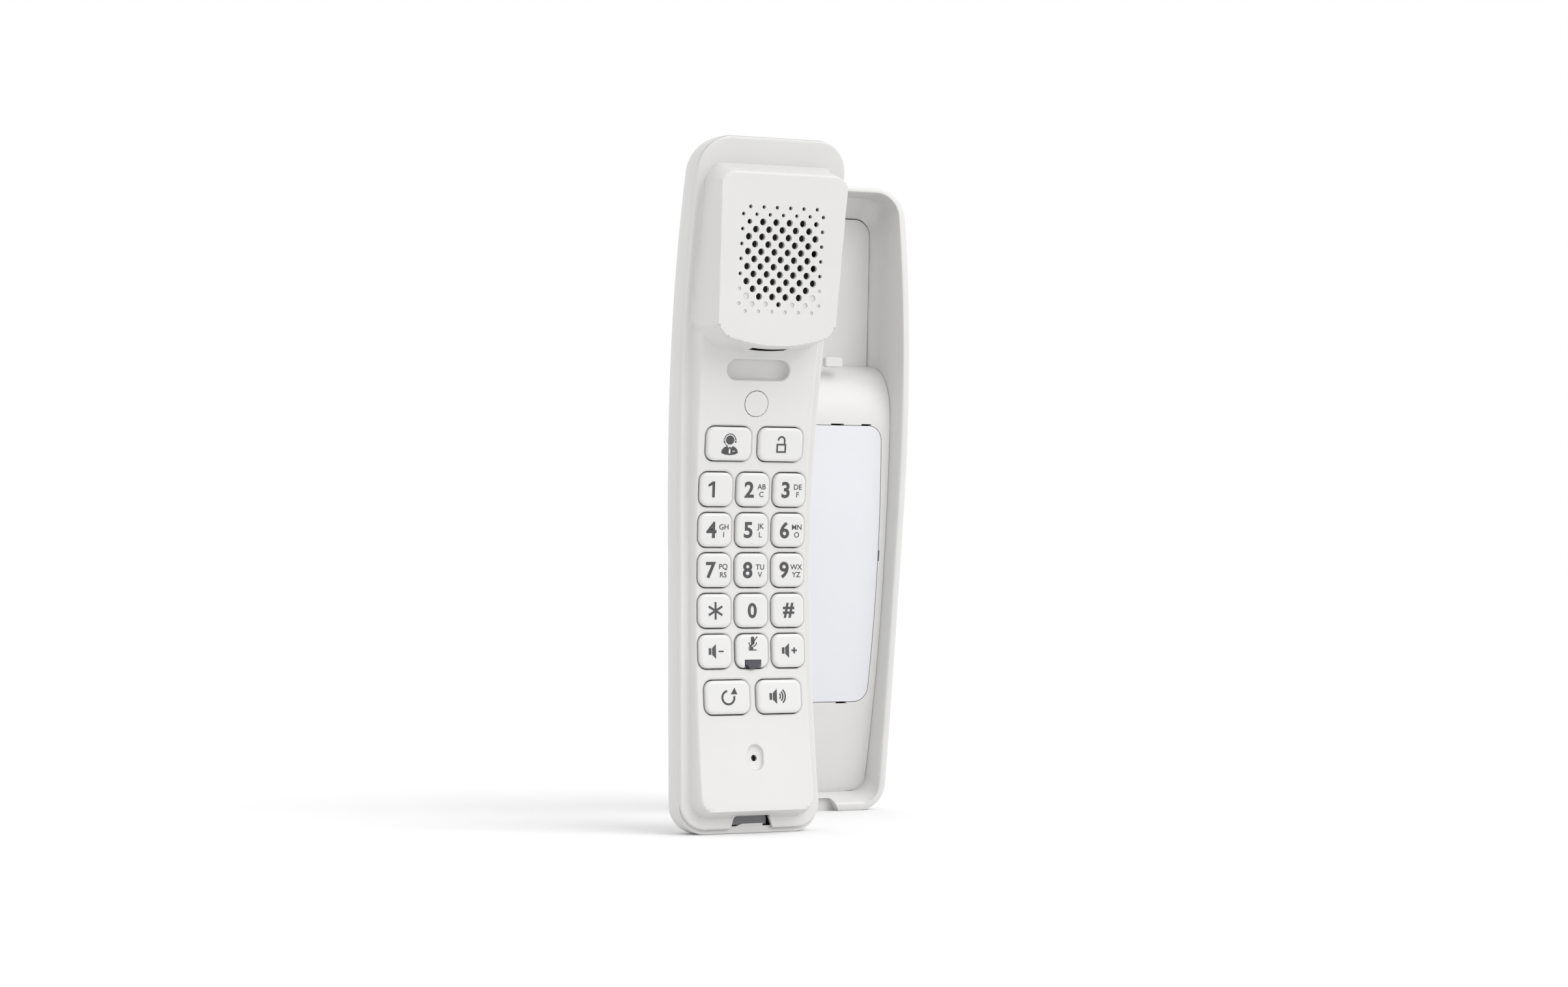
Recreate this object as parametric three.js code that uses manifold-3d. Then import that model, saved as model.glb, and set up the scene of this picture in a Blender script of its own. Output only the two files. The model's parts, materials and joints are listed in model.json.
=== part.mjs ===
// Slimline wall telephone: a corded handset standing beside and in front of its wall cradle.
// Millimetres. +Z is up, both halves face -Y, and +X is to the right seen from the front.
// The origin is on the floor under the middle of the whole set.
import * as THREE from 'three';
import { mergeVertices } from 'three/addons/utils/BufferGeometryUtils.js';
import Module from 'manifold-3d';

const wasm = await Module();
wasm.setup();

// ---------------------------------------------------------------- driving dimensions
const GAP = 0.3; // air between two pieces that meet

// Outline shared by both halves: half widths at the waist, and what each end adds to it.
const WAIST_Z = 80;
const WAIST_HALF = 22.15;
const TOP_FLARE = 2.55;
const FOOT_FLARE = 1.0;
const FOOT_FLARE_SPAN = 63;
const TOP_FLARE_SPAN = 125;

// Handset. "Forward" is the distance in front of the plane that touches the rim at the waist.
const HANDSET_TOP = 208.5;
const RIM_BOTTOM = 1.4;
const RIM_TOP = 206;
const RIM_RADIUS_UP = 400; // side bend of the rim above the waist
const RIM_RADIUS_DOWN = 800; // and below it
const SHELL_DEPTH = 14; // rim to back
const SHELL_WALL = 2;
const SHELL_ROUND = 7; // where the back turns into the two ends
const BAND_THICK = 1.2; // flat rim band of the face shell
const FACE_WALL = 1.8;
const FACE_INSET = 3.6; // rim edge to raised face
const FACE_LIFT = 3.0; // raised face ahead of the rim plane, at its lowest
const FACE_LIFT_Z = 74;
const FACE_RADIUS = 394; // side bend of the raised face
const FACE_BOTTOM = 7;

// Earpiece housing.
const EAR_BOTTOM = 148;
const EAR_TOP = 198.5;
const EAR_FORWARD = 20.6; // front face at EAR_FORWARD_Z
const EAR_FORWARD_Z = 150;
const EAR_SLOPE = 0.128;
const EAR_HALF_BOTTOM = 19.4;
const EAR_HALF_TOP = 21.7;
const EAR_WALL = 2;

// Sound holes of the earpiece: staggered rows.
const GRILLE_Z = 171.5;
const GRILLE_PITCH = 4.45;
const GRILLE_ROW = 2.21;
const GRILLE_ROWS = 15;
const GRILLE_BLIND_ROWS = 3; // the lowest rows are only dimples, left solid here
const HOLE_BIG = 1.05;
const HOLE_SMALL = 0.55;

// Keys.
const KEY_HEIGHT = 10.1;
const KEY_NARROW = 10.7;
const KEY_WIDE = 14.8;
const KEY_COLUMN = 12.35;
const KEY_WIDE_OFFSET = 8.7;
const KEY_CORNER = 2.6;
const KEY_PROUD = 0.8;
const KEY_CLEAR = 0.35;
const KEY_FLANGE = 0.65; // depth and reach of the hidden lips above and below a key
const KEY_FLANGE_SIDE = 1.5; // how much shorter than the key the lips are at each end
const LENS_HALF = 2.6; // light at the lower edge of the mute key
const LENS_HEIGHT = 2.2;
const LENS_DEPTH = 1.2;

// Seat of the handset on the cradle, reached by a half turn about an axis that leans forward.
const SEAT_TILT = 0.13; // lean of the seated handset, radians
const SEAT_LIFT = 0.55;
const SEAT_APEX_Z = 143.8; // height where the cradle's rim is furthest forward
const RIM_MEET = 0.4; // air between the two rims
const SEAT_CLEAR = 1.8; // air between the raised face and the cradle panel

// Cradle. "Forward" is measured from the furthest point of its rim.
const CRADLE_TOP = 204;
const CRADLE_BACK = -31;
const CRADLE_WALL = 2.3;
const CRADLE_TOP_WALL = 1.6;
const CRADLE_BACK_WALL = 2;
const PANEL_THICK = 2.2;
const PANEL_TOP = 194.7;
const PANEL_BOTTOM = 4.2;
const POCKET_FLOOR = -20;
const LEDGE_Z = 145.4;
const CORNER_BOTTOM = 8.5;
const CORNER_TOP = 10;

// Card window in the cradle.
const CARD_LOW = 36;
const CARD_HIGH = 126;
const CARD_HALF = 15.8;
const CARD_CORNER = 4.5;
const CARD_RECESS = 1.5;
const COVER_THICK = 0.6;
const CARD_THICK = 0.3;

// Turning axis of the handset and the round weight that sits on it.
const AXIS_FORWARD = -7.4; // at BALLAST_Z
const BALLAST_RADIUS = 2.2;
const BALLAST_LENGTH = 24;
const BALLAST_Z = 90;

// Where the halves stand.
const HALVES_APART_X = 60.7;
const HALVES_APART_Y = 48.6;

// ---------------------------------------------------------------- derived sizes
const earFront = (z) => EAR_FORWARD + EAR_SLOPE * (z - EAR_FORWARD_Z);
const SET_DEPTH = HALVES_APART_Y + earFront(EAR_TOP) - CRADLE_BACK;
const HANDSET_X = -HALVES_APART_X / 2;
const CRADLE_X = HALVES_APART_X / 2;
const HANDSET_Y = earFront(EAR_TOP) - SET_DEPTH / 2;
const CRADLE_Y = HANDSET_Y + HALVES_APART_Y;

const halfWidth = (z) => {
  if (z < WAIST_Z) return WAIST_HALF + FOOT_FLARE * ((WAIST_Z - z) / FOOT_FLARE_SPAN) ** 2;
  const t = Math.min(1, (z - WAIST_Z) / TOP_FLARE_SPAN);
  return WAIST_HALF + TOP_FLARE * Math.sin((Math.PI / 2) * t) ** 1.5;
};
const rimForward = (z) => {
  const radius = z > WAIST_Z ? RIM_RADIUS_UP : RIM_RADIUS_DOWN;
  return (z - WAIST_Z) ** 2 / (2 * radius);
};
const faceForward = (z) => FACE_LIFT + (z - FACE_LIFT_Z) ** 2 / (2 * FACE_RADIUS);
const faceSlope = (z) => (z - FACE_LIFT_Z) / FACE_RADIUS;

// A point of the handset, forward and up, carried to the cradle's own forward and up when seated.
const SEAT_FORWARD = rimForward(SEAT_APEX_Z) - SEAT_TILT * SEAT_APEX_Z;
const seated = (forward, z) => [
  SEAT_FORWARD + z * Math.sin(SEAT_TILT) - forward * Math.cos(SEAT_TILT),
  SEAT_LIFT + z * Math.cos(SEAT_TILT) + forward * Math.sin(SEAT_TILT),
];

// ---------------------------------------------------------------- shape helpers
const steps = (from, to, count) =>
  Array.from({ length: count + 1 }, (_, i) => from + ((to - from) * i) / count);

// Solid from a closed geometry.
function toSolid(geometry) {
  const bare = geometry.clone();
  bare.deleteAttribute('normal');
  bare.deleteAttribute('uv');
  const merged = mergeVertices(bare, 1e-4);
  return new wasm.Manifold(
    new wasm.Mesh({
      numProp: 3,
      vertProperties: new Float32Array(merged.attributes.position.array),
      triVerts: new Uint32Array(merged.index.array),
    }),
  );
}

function toGeometry(solid) {
  const { vertProperties, triVerts } = solid.getMesh();
  const geometry = new THREE.BufferGeometry();
  geometry.setAttribute('position', new THREE.BufferAttribute(vertProperties, 3));
  geometry.setIndex(new THREE.BufferAttribute(triVerts, 1));
  return geometry;
}

const union = (...solids) => solids.reduce((a, b) => a.add(b));

// Side profile, given as [forward, up] points, run across the full width.
const SIDE_REACH = 40;
const sideAxes = new THREE.Matrix4().makeBasis(
  new THREE.Vector3(0, -1, 0),
  new THREE.Vector3(0, 0, 1),
  new THREE.Vector3(-1, 0, 0),
);
function sideSlab(points, halfAcross = SIDE_REACH) {
  const shape = new THREE.Shape(points.map(([forward, up]) => new THREE.Vector2(forward, up)));
  const geometry = new THREE.ExtrudeGeometry(shape, { depth: 2 * halfAcross, bevelEnabled: false });
  geometry.translate(0, 0, -halfAcross);
  return toSolid(geometry.applyMatrix4(sideAxes));
}

// Front outline, given as a shape of [across, up], run from one forward distance to another.
const frontAxes = new THREE.Matrix4().makeBasis(
  new THREE.Vector3(1, 0, 0),
  new THREE.Vector3(0, 0, 1),
  new THREE.Vector3(0, -1, 0),
);
function frontSlab(shape, from = -60, to = 60, curveSegments = 3) {
  const geometry = new THREE.ExtrudeGeometry(shape, {
    depth: to - from,
    bevelEnabled: false,
    curveSegments,
  });
  geometry.translate(0, 0, from);
  return toSolid(geometry.applyMatrix4(frontAxes));
}

// Tall outline with flared sides and rounded corners, symmetric about the middle.
function tallOutline(width, bottom, top, cornerBottom, cornerTop, sideSteps = 11) {
  const right = [];
  const arcSteps = 4;
  for (const angle of steps(Math.PI / 2, 0, arcSteps)) {
    const z = bottom + cornerBottom * (1 - Math.sin(angle));
    right.push([width(z) - cornerBottom * (1 - Math.cos(angle)), z]);
  }
  for (const z of steps(bottom + cornerBottom, top - cornerTop, sideSteps).slice(1, -1)) {
    right.push([width(z), z]);
  }
  for (const angle of steps(0, Math.PI / 2, arcSteps)) {
    const z = top - cornerTop * (1 - Math.sin(angle));
    right.push([width(z) - cornerTop * (1 - Math.cos(angle)), z]);
  }
  const left = right.map(([x, z]) => [-x, z]).reverse();
  return new THREE.Shape([...right, ...left].map(([x, z]) => new THREE.Vector2(x, z)));
}

const rimOutline = (inset, bottom, top) =>
  tallOutline(
    (z) => halfWidth(z) - inset,
    bottom + inset,
    top - inset,
    Math.max(1.5, CORNER_BOTTOM - inset),
    Math.max(1.5, CORNER_TOP - inset),
  );

function roundedRect(width, height, radius, centreX = 0, centreY = 0) {
  const shape = new THREE.Shape();
  const x = width / 2 - radius;
  const y = height / 2 - radius;
  shape.absarc(centreX + x, centreY + y, radius, 0, Math.PI / 2);
  shape.absarc(centreX - x, centreY + y, radius, Math.PI / 2, Math.PI);
  shape.absarc(centreX - x, centreY - y, radius, Math.PI, 1.5 * Math.PI);
  shape.absarc(centreX + x, centreY - y, radius, 1.5 * Math.PI, 2 * Math.PI);
  return shape;
}

// Band between two side curves, through the heights given.
function sideBand(back, front, heights) {
  const behind = heights.map((z) => [back(z), z]);
  const ahead = heights.map((z) => [front(z), z]).reverse();
  return sideSlab([...behind, ...ahead]);
}

// Box from low to high corners given as [across, forward, up].
function block(low, high) {
  const size = high.map((value, i) => value - low[i]);
  const geometry = new THREE.BoxGeometry(size[0], size[1], size[2]);
  geometry.translate((low[0] + high[0]) / 2, -(low[1] + high[1]) / 2, (low[2] + high[2]) / 2);
  return toSolid(geometry);
}

// Round bar along the forward direction.
function frontPeg(radius, across, up, from, to, sides = 20) {
  const geometry = new THREE.CylinderGeometry(radius, radius, to - from, sides);
  geometry.translate(across, -(from + to) / 2, up);
  return toSolid(geometry);
}

// Frame that lies on the raised face at a height: its -Y is the outward normal.
function onFace(across, z, forward = faceForward(z)) {
  const place = new THREE.Matrix4().makeTranslation(across, -forward, z);
  return place.multiply(new THREE.Matrix4().makeRotationX(faceSlope(z)));
}
const EAR_TILT = Math.atan(EAR_SLOPE);
function onEar(across, along) {
  const place = new THREE.Matrix4().makeTranslation(0, -earFront(GRILLE_Z), GRILLE_Z);
  place.multiply(new THREE.Matrix4().makeRotationX(EAR_TILT));
  return place.multiply(new THREE.Matrix4().makeTranslation(across, 0, along));
}
const placed = (solid, matrix) => solid.transform(matrix.elements.slice());

// ---------------------------------------------------------------- materials
const plastic = (color, roughness) => ({ color, roughness, metalness: 0 });
const metal = (color, roughness) => ({ color, roughness, metalness: 1 });
const LOOKS = {
  white: plastic(0xefeeec, 0.4),
  key: plastic(0xf4f3f1, 0.38),
  clear: plastic(0xe4e4ea, 0.12),
  card: plastic(0xf7f7f5, 0.8),
  silicone: plastic(0xd9d8d4, 0.7),
  board: plastic(0x1f5b3a, 0.5),
  black: plastic(0x1b1b1d, 0.5),
  jack: plastic(0x4c4d50, 0.4),
  lens: plastic(0x4a4a4d, 0.2),
  steel: metal(0x9fa2a6, 0.35),
  magnet: metal(0xb9bcc0, 0.25),
};

const model = new THREE.Group();
const handset = new THREE.Group();
handset.position.set(HANDSET_X, HANDSET_Y, 0);
const cradle = new THREE.Group();
cradle.position.set(CRADLE_X, CRADLE_Y, 0);
model.add(handset, cradle);

function addNode(group, name, solid, look) {
  const mesh = new THREE.Mesh(toGeometry(solid), new THREE.MeshStandardMaterial(LOOKS[look]));
  mesh.name = name;
  group.add(mesh);
}

// ---------------------------------------------------------------- keys
// Rows from the top: height, kind of row, names from left to right.
const NARROW_COLUMNS = [-KEY_COLUMN, 0, KEY_COLUMN];
const WIDE_COLUMNS = [-KEY_WIDE_OFFSET, KEY_WIDE_OFFSET];
const KEY_ROWS = [
  [117.3, WIDE_COLUMNS, ['operator', 'door']],
  [103.6, NARROW_COLUMNS, ['1', '2', '3']],
  [91.4, NARROW_COLUMNS, ['4', '5', '6']],
  [79.3, NARROW_COLUMNS, ['7', '8', '9']],
  [67.1, NARROW_COLUMNS, ['star', '0', 'hash']],
  [54.9, NARROW_COLUMNS, ['quieter', 'mute', 'louder']],
  [41.1, WIDE_COLUMNS, ['redial', 'speaker']],
];
const KEYS = KEY_ROWS.flatMap(([z, columns, names]) =>
  names.map((name, i) => ({
    name: `key_${name}`,
    across: columns[i],
    z,
    width: columns === WIDE_COLUMNS ? KEY_WIDE : KEY_NARROW,
  })),
);

const keyShape = (width, grow) =>
  roundedRect(width + 2 * grow, KEY_HEIGHT + 2 * grow, KEY_CORNER + grow);
const LENS_LOW = -KEY_HEIGHT / 2;
const LENS_HIGH = LENS_LOW + LENS_HEIGHT;

function keySolid(key) {
  const cap = frontSlab(keyShape(key.width, 0), -FACE_WALL - GAP - KEY_FLANGE, KEY_PROUD, 2);
  const flange = frontSlab(
    roundedRect(key.width - 2 * KEY_FLANGE_SIDE, KEY_HEIGHT + 2 * KEY_FLANGE, 1),
    -FACE_WALL - GAP - KEY_FLANGE,
    -FACE_WALL - GAP,
    1,
  );
  const whole = cap.add(flange);
  if (key.name !== 'key_mute') return whole;
  return whole.subtract(
    block(
      [-LENS_HALF - GAP, -LENS_DEPTH, LENS_LOW - 1],
      [LENS_HALF + GAP, KEY_PROUD + 1, LENS_HIGH + GAP],
    ),
  );
}

for (const key of KEYS) {
  addNode(handset, key.name, placed(keySolid(key), onFace(key.across, key.z)), 'key');
}
const muteKey = KEYS.find((key) => key.name === 'key_mute');
const lens = block(
  [-LENS_HALF, GAP - LENS_DEPTH, LENS_LOW + GAP / 3],
  [LENS_HALF, KEY_PROUD, LENS_HIGH],
);
addNode(handset, 'mute_light_lens', placed(lens, onFace(muteKey.across, muteKey.z)), 'lens');

// ---------------------------------------------------------------- handset face shell
const ANCHOR_Z = 139.5; // long recess under the earpiece
const ANCHOR_WIDTH = 21;
const ANCHOR_HEIGHT = 6.3;
const ANCHOR_DEPTH = 3.2;
const COVER_DISC_Z = 129.4;
const COVER_DISC_RADIUS = 3.85;
const COVER_DISC_THICK = 1;
const POCKET_WALL = 1.5; // wall behind the recess and round the screw's cover
const SCREW_SEAT = 3.3; // depth of the cover's pocket
const SCREW_HOLE = 1.9;
const MIC_Z = 22.9;
const MIC_HOLE = 1;
const NOTCH_HALF_FOOT = 8;
const NOTCH_HALF_TOP = 5.8;
const NOTCH_TOP = 5.4;
const HOOK_HALF = 6;
const HOOK_BEHIND = 7.5; // from the front of the earpiece to the back of its hook notch
const HOOK_OPEN = 3.2;

const faceOutline = (inset) =>
  tallOutline(
    (z) => halfWidth(z) - FACE_INSET - inset,
    FACE_BOTTOM + inset,
    EAR_TOP - inset,
    Math.max(1, 4 - inset),
    Math.max(1, 4 - inset),
  );
const earWidth = (z) => {
  const share = (z - EAR_BOTTOM) / (EAR_TOP - EAR_BOTTOM);
  return EAR_HALF_BOTTOM + (EAR_HALF_TOP - EAR_HALF_BOTTOM) * share;
};
const earOutline = (inset) =>
  tallOutline((z) => earWidth(z) - inset, EAR_BOTTOM + inset, EAR_TOP - inset, 4, 4, 3);

const CUT = 5; // how far a cutting body runs past the surface that it cuts
const bandBack = (z) => rimForward(z) - BAND_THICK;

function grilleHoles() {
  const holes = [];
  const size = (row, column, count) => {
    const edgeRow = row < 2 || row === GRILLE_ROWS - 1;
    const edgeColumn = count === 7 && (column === 0 || column === count - 1);
    return edgeRow || edgeColumn ? HOLE_SMALL : HOLE_BIG;
  };
  for (let row = 0; row < GRILLE_ROWS - GRILLE_BLIND_ROWS; row += 1) {
    const count = row % 2 === 0 ? 6 : 7;
    for (let column = 0; column < count; column += 1) {
      const across = (column - (count - 1) / 2) * GRILLE_PITCH;
      const along = ((GRILLE_ROWS - 1) / 2 - row) * GRILLE_ROW;
      const hole = frontPeg(size(row, column, count), 0, 0, -CUT, CUT, 4);
      holes.push(placed(hole, onEar(across, along)));
    }
  }
  return holes;
}

function faceShell() {
  const band = sideBand(bandBack, rimForward, steps(0, HANDSET_TOP, 14))
    .intersect(frontSlab(rimOutline(0, RIM_BOTTOM, RIM_TOP)));
  const raised = sideBand(bandBack, faceForward, steps(0, EAR_BOTTOM + 6, 12))
    .intersect(frontSlab(faceOutline(0)));
  const ear = sideBand(bandBack, earFront, steps(EAR_BOTTOM, EAR_TOP, 6))
    .intersect(frontSlab(earOutline(0)));
  const faceHollow = sideBand(
    (z) => bandBack(z) - CUT,
    (z) => faceForward(z) - FACE_WALL,
    steps(0, EAR_BOTTOM + EAR_WALL + 1, 12),
  ).intersect(frontSlab(faceOutline(FACE_WALL)));
  const earHollow = sideBand(
    (z) => bandBack(z) - CUT,
    (z) => earFront(z) - EAR_WALL,
    steps(EAR_BOTTOM, EAR_TOP, 6),
  ).intersect(frontSlab(earOutline(EAR_WALL)));
  let shell = union(band, raised, ear).subtract(faceHollow).subtract(earHollow);

  // Backing and cut of the long recess, and of the round cover over the screw.
  const anchorBack = block(
    [-ANCHOR_WIDTH / 2 - POCKET_WALL, -ANCHOR_DEPTH - POCKET_WALL, -ANCHOR_HEIGHT / 2 - POCKET_WALL],
    [ANCHOR_WIDTH / 2 + POCKET_WALL, -FACE_WALL / 2, ANCHOR_HEIGHT / 2 + POCKET_WALL],
  );
  const anchorOutline = roundedRect(ANCHOR_WIDTH, ANCHOR_HEIGHT, ANCHOR_HEIGHT / 2 - 0.05);
  const anchorCut = frontSlab(anchorOutline, -ANCHOR_DEPTH, CUT, 3);
  const seatBack = -SCREW_SEAT - POCKET_WALL + GAP;
  const coverBack = frontPeg(COVER_DISC_RADIUS + POCKET_WALL, 0, 0, seatBack, -FACE_WALL / 2, 16);
  const coverCut = frontPeg(COVER_DISC_RADIUS + GAP, 0, 0, -SCREW_SEAT, CUT, 16);
  const screwCut = frontPeg(SCREW_HOLE, 0, 0, -CUT - 2, CUT, 12);
  shell = shell
    .add(placed(anchorBack, onFace(0, ANCHOR_Z)))
    .add(placed(coverBack, onFace(0, COVER_DISC_Z)))
    .subtract(placed(anchorCut, onFace(0, ANCHOR_Z)))
    .subtract(placed(coverCut, onFace(0, COVER_DISC_Z)))
    .subtract(placed(screwCut, onFace(0, COVER_DISC_Z)));

  // Openings for the keys, the microphone and the earpiece's sound holes.
  for (const key of KEYS) {
    const opening = frontSlab(keyShape(key.width, KEY_CLEAR), -CUT, CUT, 2);
    shell = shell.subtract(placed(opening, onFace(key.across, key.z)));
  }
  shell = shell.subtract(placed(frontPeg(MIC_HOLE, 0, 0, -CUT, CUT, 12), onFace(0, MIC_Z)));
  for (const hole of grilleHoles()) shell = shell.subtract(hole);

  // Hook notch in the underside of the earpiece, and the plug notch in the bottom of the rim.
  const hookForward = earFront(EAR_BOTTOM) - HOOK_BEHIND;
  const hook = block(
    [-HOOK_HALF, hookForward, EAR_BOTTOM - 1],
    [HOOK_HALF, hookForward + HOOK_OPEN, EAR_BOTTOM + EAR_WALL + 1],
  );
  const notch = frontSlab(
    new THREE.Shape([
      new THREE.Vector2(-NOTCH_HALF_FOOT, 0),
      new THREE.Vector2(NOTCH_HALF_FOOT, 0),
      new THREE.Vector2(NOTCH_HALF_TOP, NOTCH_TOP),
      new THREE.Vector2(-NOTCH_HALF_TOP, NOTCH_TOP),
    ]),
  );
  return shell.subtract(hook).subtract(notch);
}
addNode(handset, 'handset_face_shell', faceShell(), 'white');

// ---------------------------------------------------------------- handset back shell
const endRounding = (z) => {
  const short = SHELL_ROUND - Math.min(z, HANDSET_TOP - z);
  return short > 0 ? SHELL_ROUND - Math.sqrt(SHELL_ROUND ** 2 - short ** 2) : 0;
};
const shellBack = (z) => rimForward(z) - SHELL_DEPTH + endRounding(z);
const roundedEnd = [0, 0.1, 0.3, 0.6].map((share) => share * SHELL_ROUND);
const SHELL_HEIGHTS = [
  ...roundedEnd,
  ...steps(SHELL_ROUND, HANDSET_TOP - SHELL_ROUND, 13),
  ...roundedEnd.map((z) => HANDSET_TOP - z).reverse(),
];
const shellFront = (z) => bandBack(z) - GAP;
const BOSS_RADIUS = 3.4;
const BOSS_END = -5.2; // behind the raised face
const BOSS_FLOOR = 2.5; // solid foot of the boss under its screw hole
const PILOT_RADIUS = 1.5;
const JACK_HALF = 5.7;
const JACK_BACK = -6.2;
const JACK_FRONT = 1.8;
const JACK_BOTTOM = 2.6;
const JACK_TOP = 15;
const PLUG_HALF = 4;
const PLUG_BACK = -5.2;
const PLUG_FRONT = 1.0;

function backShell() {
  const outer = sideBand(shellBack, shellFront, SHELL_HEIGHTS)
    .intersect(frontSlab(rimOutline(0, 0, HANDSET_TOP)));
  const hollow = sideBand((z) => shellBack(z) + SHELL_WALL, (z) => shellFront(z) + CUT, SHELL_HEIGHTS)
    .intersect(frontSlab(rimOutline(SHELL_WALL, 0, HANDSET_TOP)));
  const toBack = shellBack(COVER_DISC_Z) + SHELL_WALL / 2 - faceForward(COVER_DISC_Z);
  const bossPlace = onFace(0, COVER_DISC_Z);
  const boss = placed(frontPeg(BOSS_RADIUS, 0, 0, toBack, BOSS_END, 16), bossPlace);
  const pilot = placed(frontPeg(PILOT_RADIUS, 0, 0, toBack + BOSS_FLOOR, 0, 12), bossPlace);
  const plugWay = block(
    [-PLUG_HALF - 1, PLUG_BACK - 0.8, -1],
    [PLUG_HALF + 1, PLUG_FRONT, SHELL_WALL + 1],
  );
  return outer.subtract(hollow).add(boss).subtract(pilot).subtract(plugWay);
}
addNode(handset, 'handset_back_shell', backShell(), 'white');

// ---------------------------------------------------------------- pieces inside the handset
// Screw with a round head, its head towards +forward, its axis along the forward direction.
function screw(headRadius, headThick, shankRadius, length) {
  return frontPeg(headRadius, 0, 0, 0, headThick, 14).add(
    frontPeg(shankRadius, 0, 0, -length, headThick / 2, 10),
  );
}
const disc = frontPeg(COVER_DISC_RADIUS, 0, 0, -COVER_DISC_THICK, 0, 16);
addNode(handset, 'screw_cover', placed(disc, onFace(0, COVER_DISC_Z)), 'white');
const HANDSET_SCREW = [2.7, 1.4, 1.1, 9]; // head radius, head thickness, shank radius, length
const underHead = new THREE.Matrix4().makeTranslation(0, SCREW_SEAT - GAP, 0);
const handsetScrew = placed(screw(...HANDSET_SCREW), onFace(0, COVER_DISC_Z).multiply(underHead));
addNode(handset, 'handset_screw', handsetScrew, 'steel');

const MEMBRANE_BOTTOM = 33;
const MEMBRANE_TOP = 123.5;
const MEMBRANE_DROP = 4.2; // behind the raised face
const MEMBRANE_THICK = 0.8;
const MEMBRANE_WIDTH = 33;
const membraneOutline = roundedRect(
  MEMBRANE_WIDTH,
  MEMBRANE_TOP - MEMBRANE_BOTTOM,
  2,
  0,
  (MEMBRANE_TOP + MEMBRANE_BOTTOM) / 2,
);
const membrane = sideBand(
  (z) => faceForward(z) - MEMBRANE_DROP - MEMBRANE_THICK,
  (z) => faceForward(z) - MEMBRANE_DROP,
  steps(MEMBRANE_BOTTOM, MEMBRANE_TOP, 10),
).intersect(frontSlab(membraneOutline));
addNode(handset, 'keypad_membrane', membrane, 'silicone');

const BOARD_BACK = -4.1;
const BOARD_FRONT = -2.9;
const BOARD_WIDTH = 34;
const BOARD_HEIGHT = 106;
const BOARD_MIDDLE = 70;
const boardOutline = roundedRect(BOARD_WIDTH, BOARD_HEIGHT, 1.5, 0, BOARD_MIDDLE);
const board = frontSlab(boardOutline, BOARD_BACK, BOARD_FRONT, 3);
addNode(handset, 'handset_circuit_board', board, 'board');

// Receiver behind the sound holes: capsule and the foam ring that seals it to the housing.
const RECEIVER_RADIUS = 15;
const RECEIVER_THICK = 7.9;
const GASKET_THICK = 1.5;
const GASKET_WIDTH = 2;
const gasketFront = -EAR_WALL - GAP;
const gasketBack = gasketFront - GASKET_THICK;
const receiverFront = gasketBack - GAP;
const capsule = frontPeg(RECEIVER_RADIUS, 0, 0, receiverFront - RECEIVER_THICK, receiverFront, 20);
addNode(handset, 'receiver_capsule', placed(capsule, onEar(0, 0)), 'black');
const ring = frontPeg(RECEIVER_RADIUS, 0, 0, gasketBack, gasketFront, 20)
  .subtract(frontPeg(RECEIVER_RADIUS - GASKET_WIDTH, 0, 0, gasketBack - 1, gasketFront + 1, 20));
addNode(handset, 'receiver_gasket', placed(ring, onEar(0, 0)), 'black');

// Microphone in its rubber boot behind its hole.
const BOOT_RADIUS = 4.6;
const BOOT_LENGTH = 6.1;
const BOOT_WALL = 1.1;
const MIC_RADIUS = BOOT_RADIUS - BOOT_WALL - GAP;
const MIC_LENGTH = 5.4;
const bootFront = -FACE_WALL - GAP;
const boot = frontPeg(BOOT_RADIUS, 0, 0, bootFront - BOOT_LENGTH, bootFront, 20)
  .subtract(frontPeg(BOOT_RADIUS - BOOT_WALL, 0, 0, -FACE_WALL - 9, bootFront - BOOT_WALL, 20))
  .subtract(frontPeg(MIC_HOLE, 0, 0, -FACE_WALL - 9, 0, 12));
addNode(handset, 'microphone_boot', placed(boot, onFace(0, MIC_Z)), 'black');
const micFront = bootFront - BOOT_WALL - GAP;
const mic = frontPeg(MIC_RADIUS, 0, 0, micFront - MIC_LENGTH, micFront, 20);
addNode(handset, 'microphone', placed(mic, onFace(0, MIC_Z)), 'steel');

// Socket for a modular plug: open at its lower end.
const SOCKET_END = 2.4; // solid end of a socket
function socket(low, high, plugHalf, plugBack, plugFront) {
  const middle = (low[0] + high[0]) / 2;
  const plug = block(
    [middle - plugHalf, plugBack, low[2] - 1],
    [middle + plugHalf, plugFront, high[2] - SOCKET_END],
  );
  return block(low, high).subtract(plug);
}
addNode(
  handset,
  'handset_cord_socket',
  socket(
    [-JACK_HALF, JACK_BACK, JACK_BOTTOM],
    [JACK_HALF, JACK_FRONT, JACK_TOP],
    PLUG_HALF,
    PLUG_BACK,
    PLUG_FRONT,
  ),
  'jack',
);

const MAGNET_RADIUS = 4;
const MAGNET_THICK = 3;
const magnetFront = -ANCHOR_DEPTH - POCKET_WALL - GAP;
const magnet = frontPeg(MAGNET_RADIUS, 0, 0, magnetFront - MAGNET_THICK, magnetFront, 20);
addNode(handset, 'hook_magnet', placed(magnet, onFace(0, ANCHOR_Z)), 'magnet');

// Round ballast weight on the axis about which the handset is turned to be hung up.
const ballast = new THREE.CylinderGeometry(BALLAST_RADIUS, BALLAST_RADIUS, BALLAST_LENGTH, 24);
ballast.rotateX(Math.PI / 2 + SEAT_TILT / 2);
ballast.translate(0, -AXIS_FORWARD, BALLAST_Z);
addNode(handset, 'ballast', toSolid(ballast), 'steel');

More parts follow.
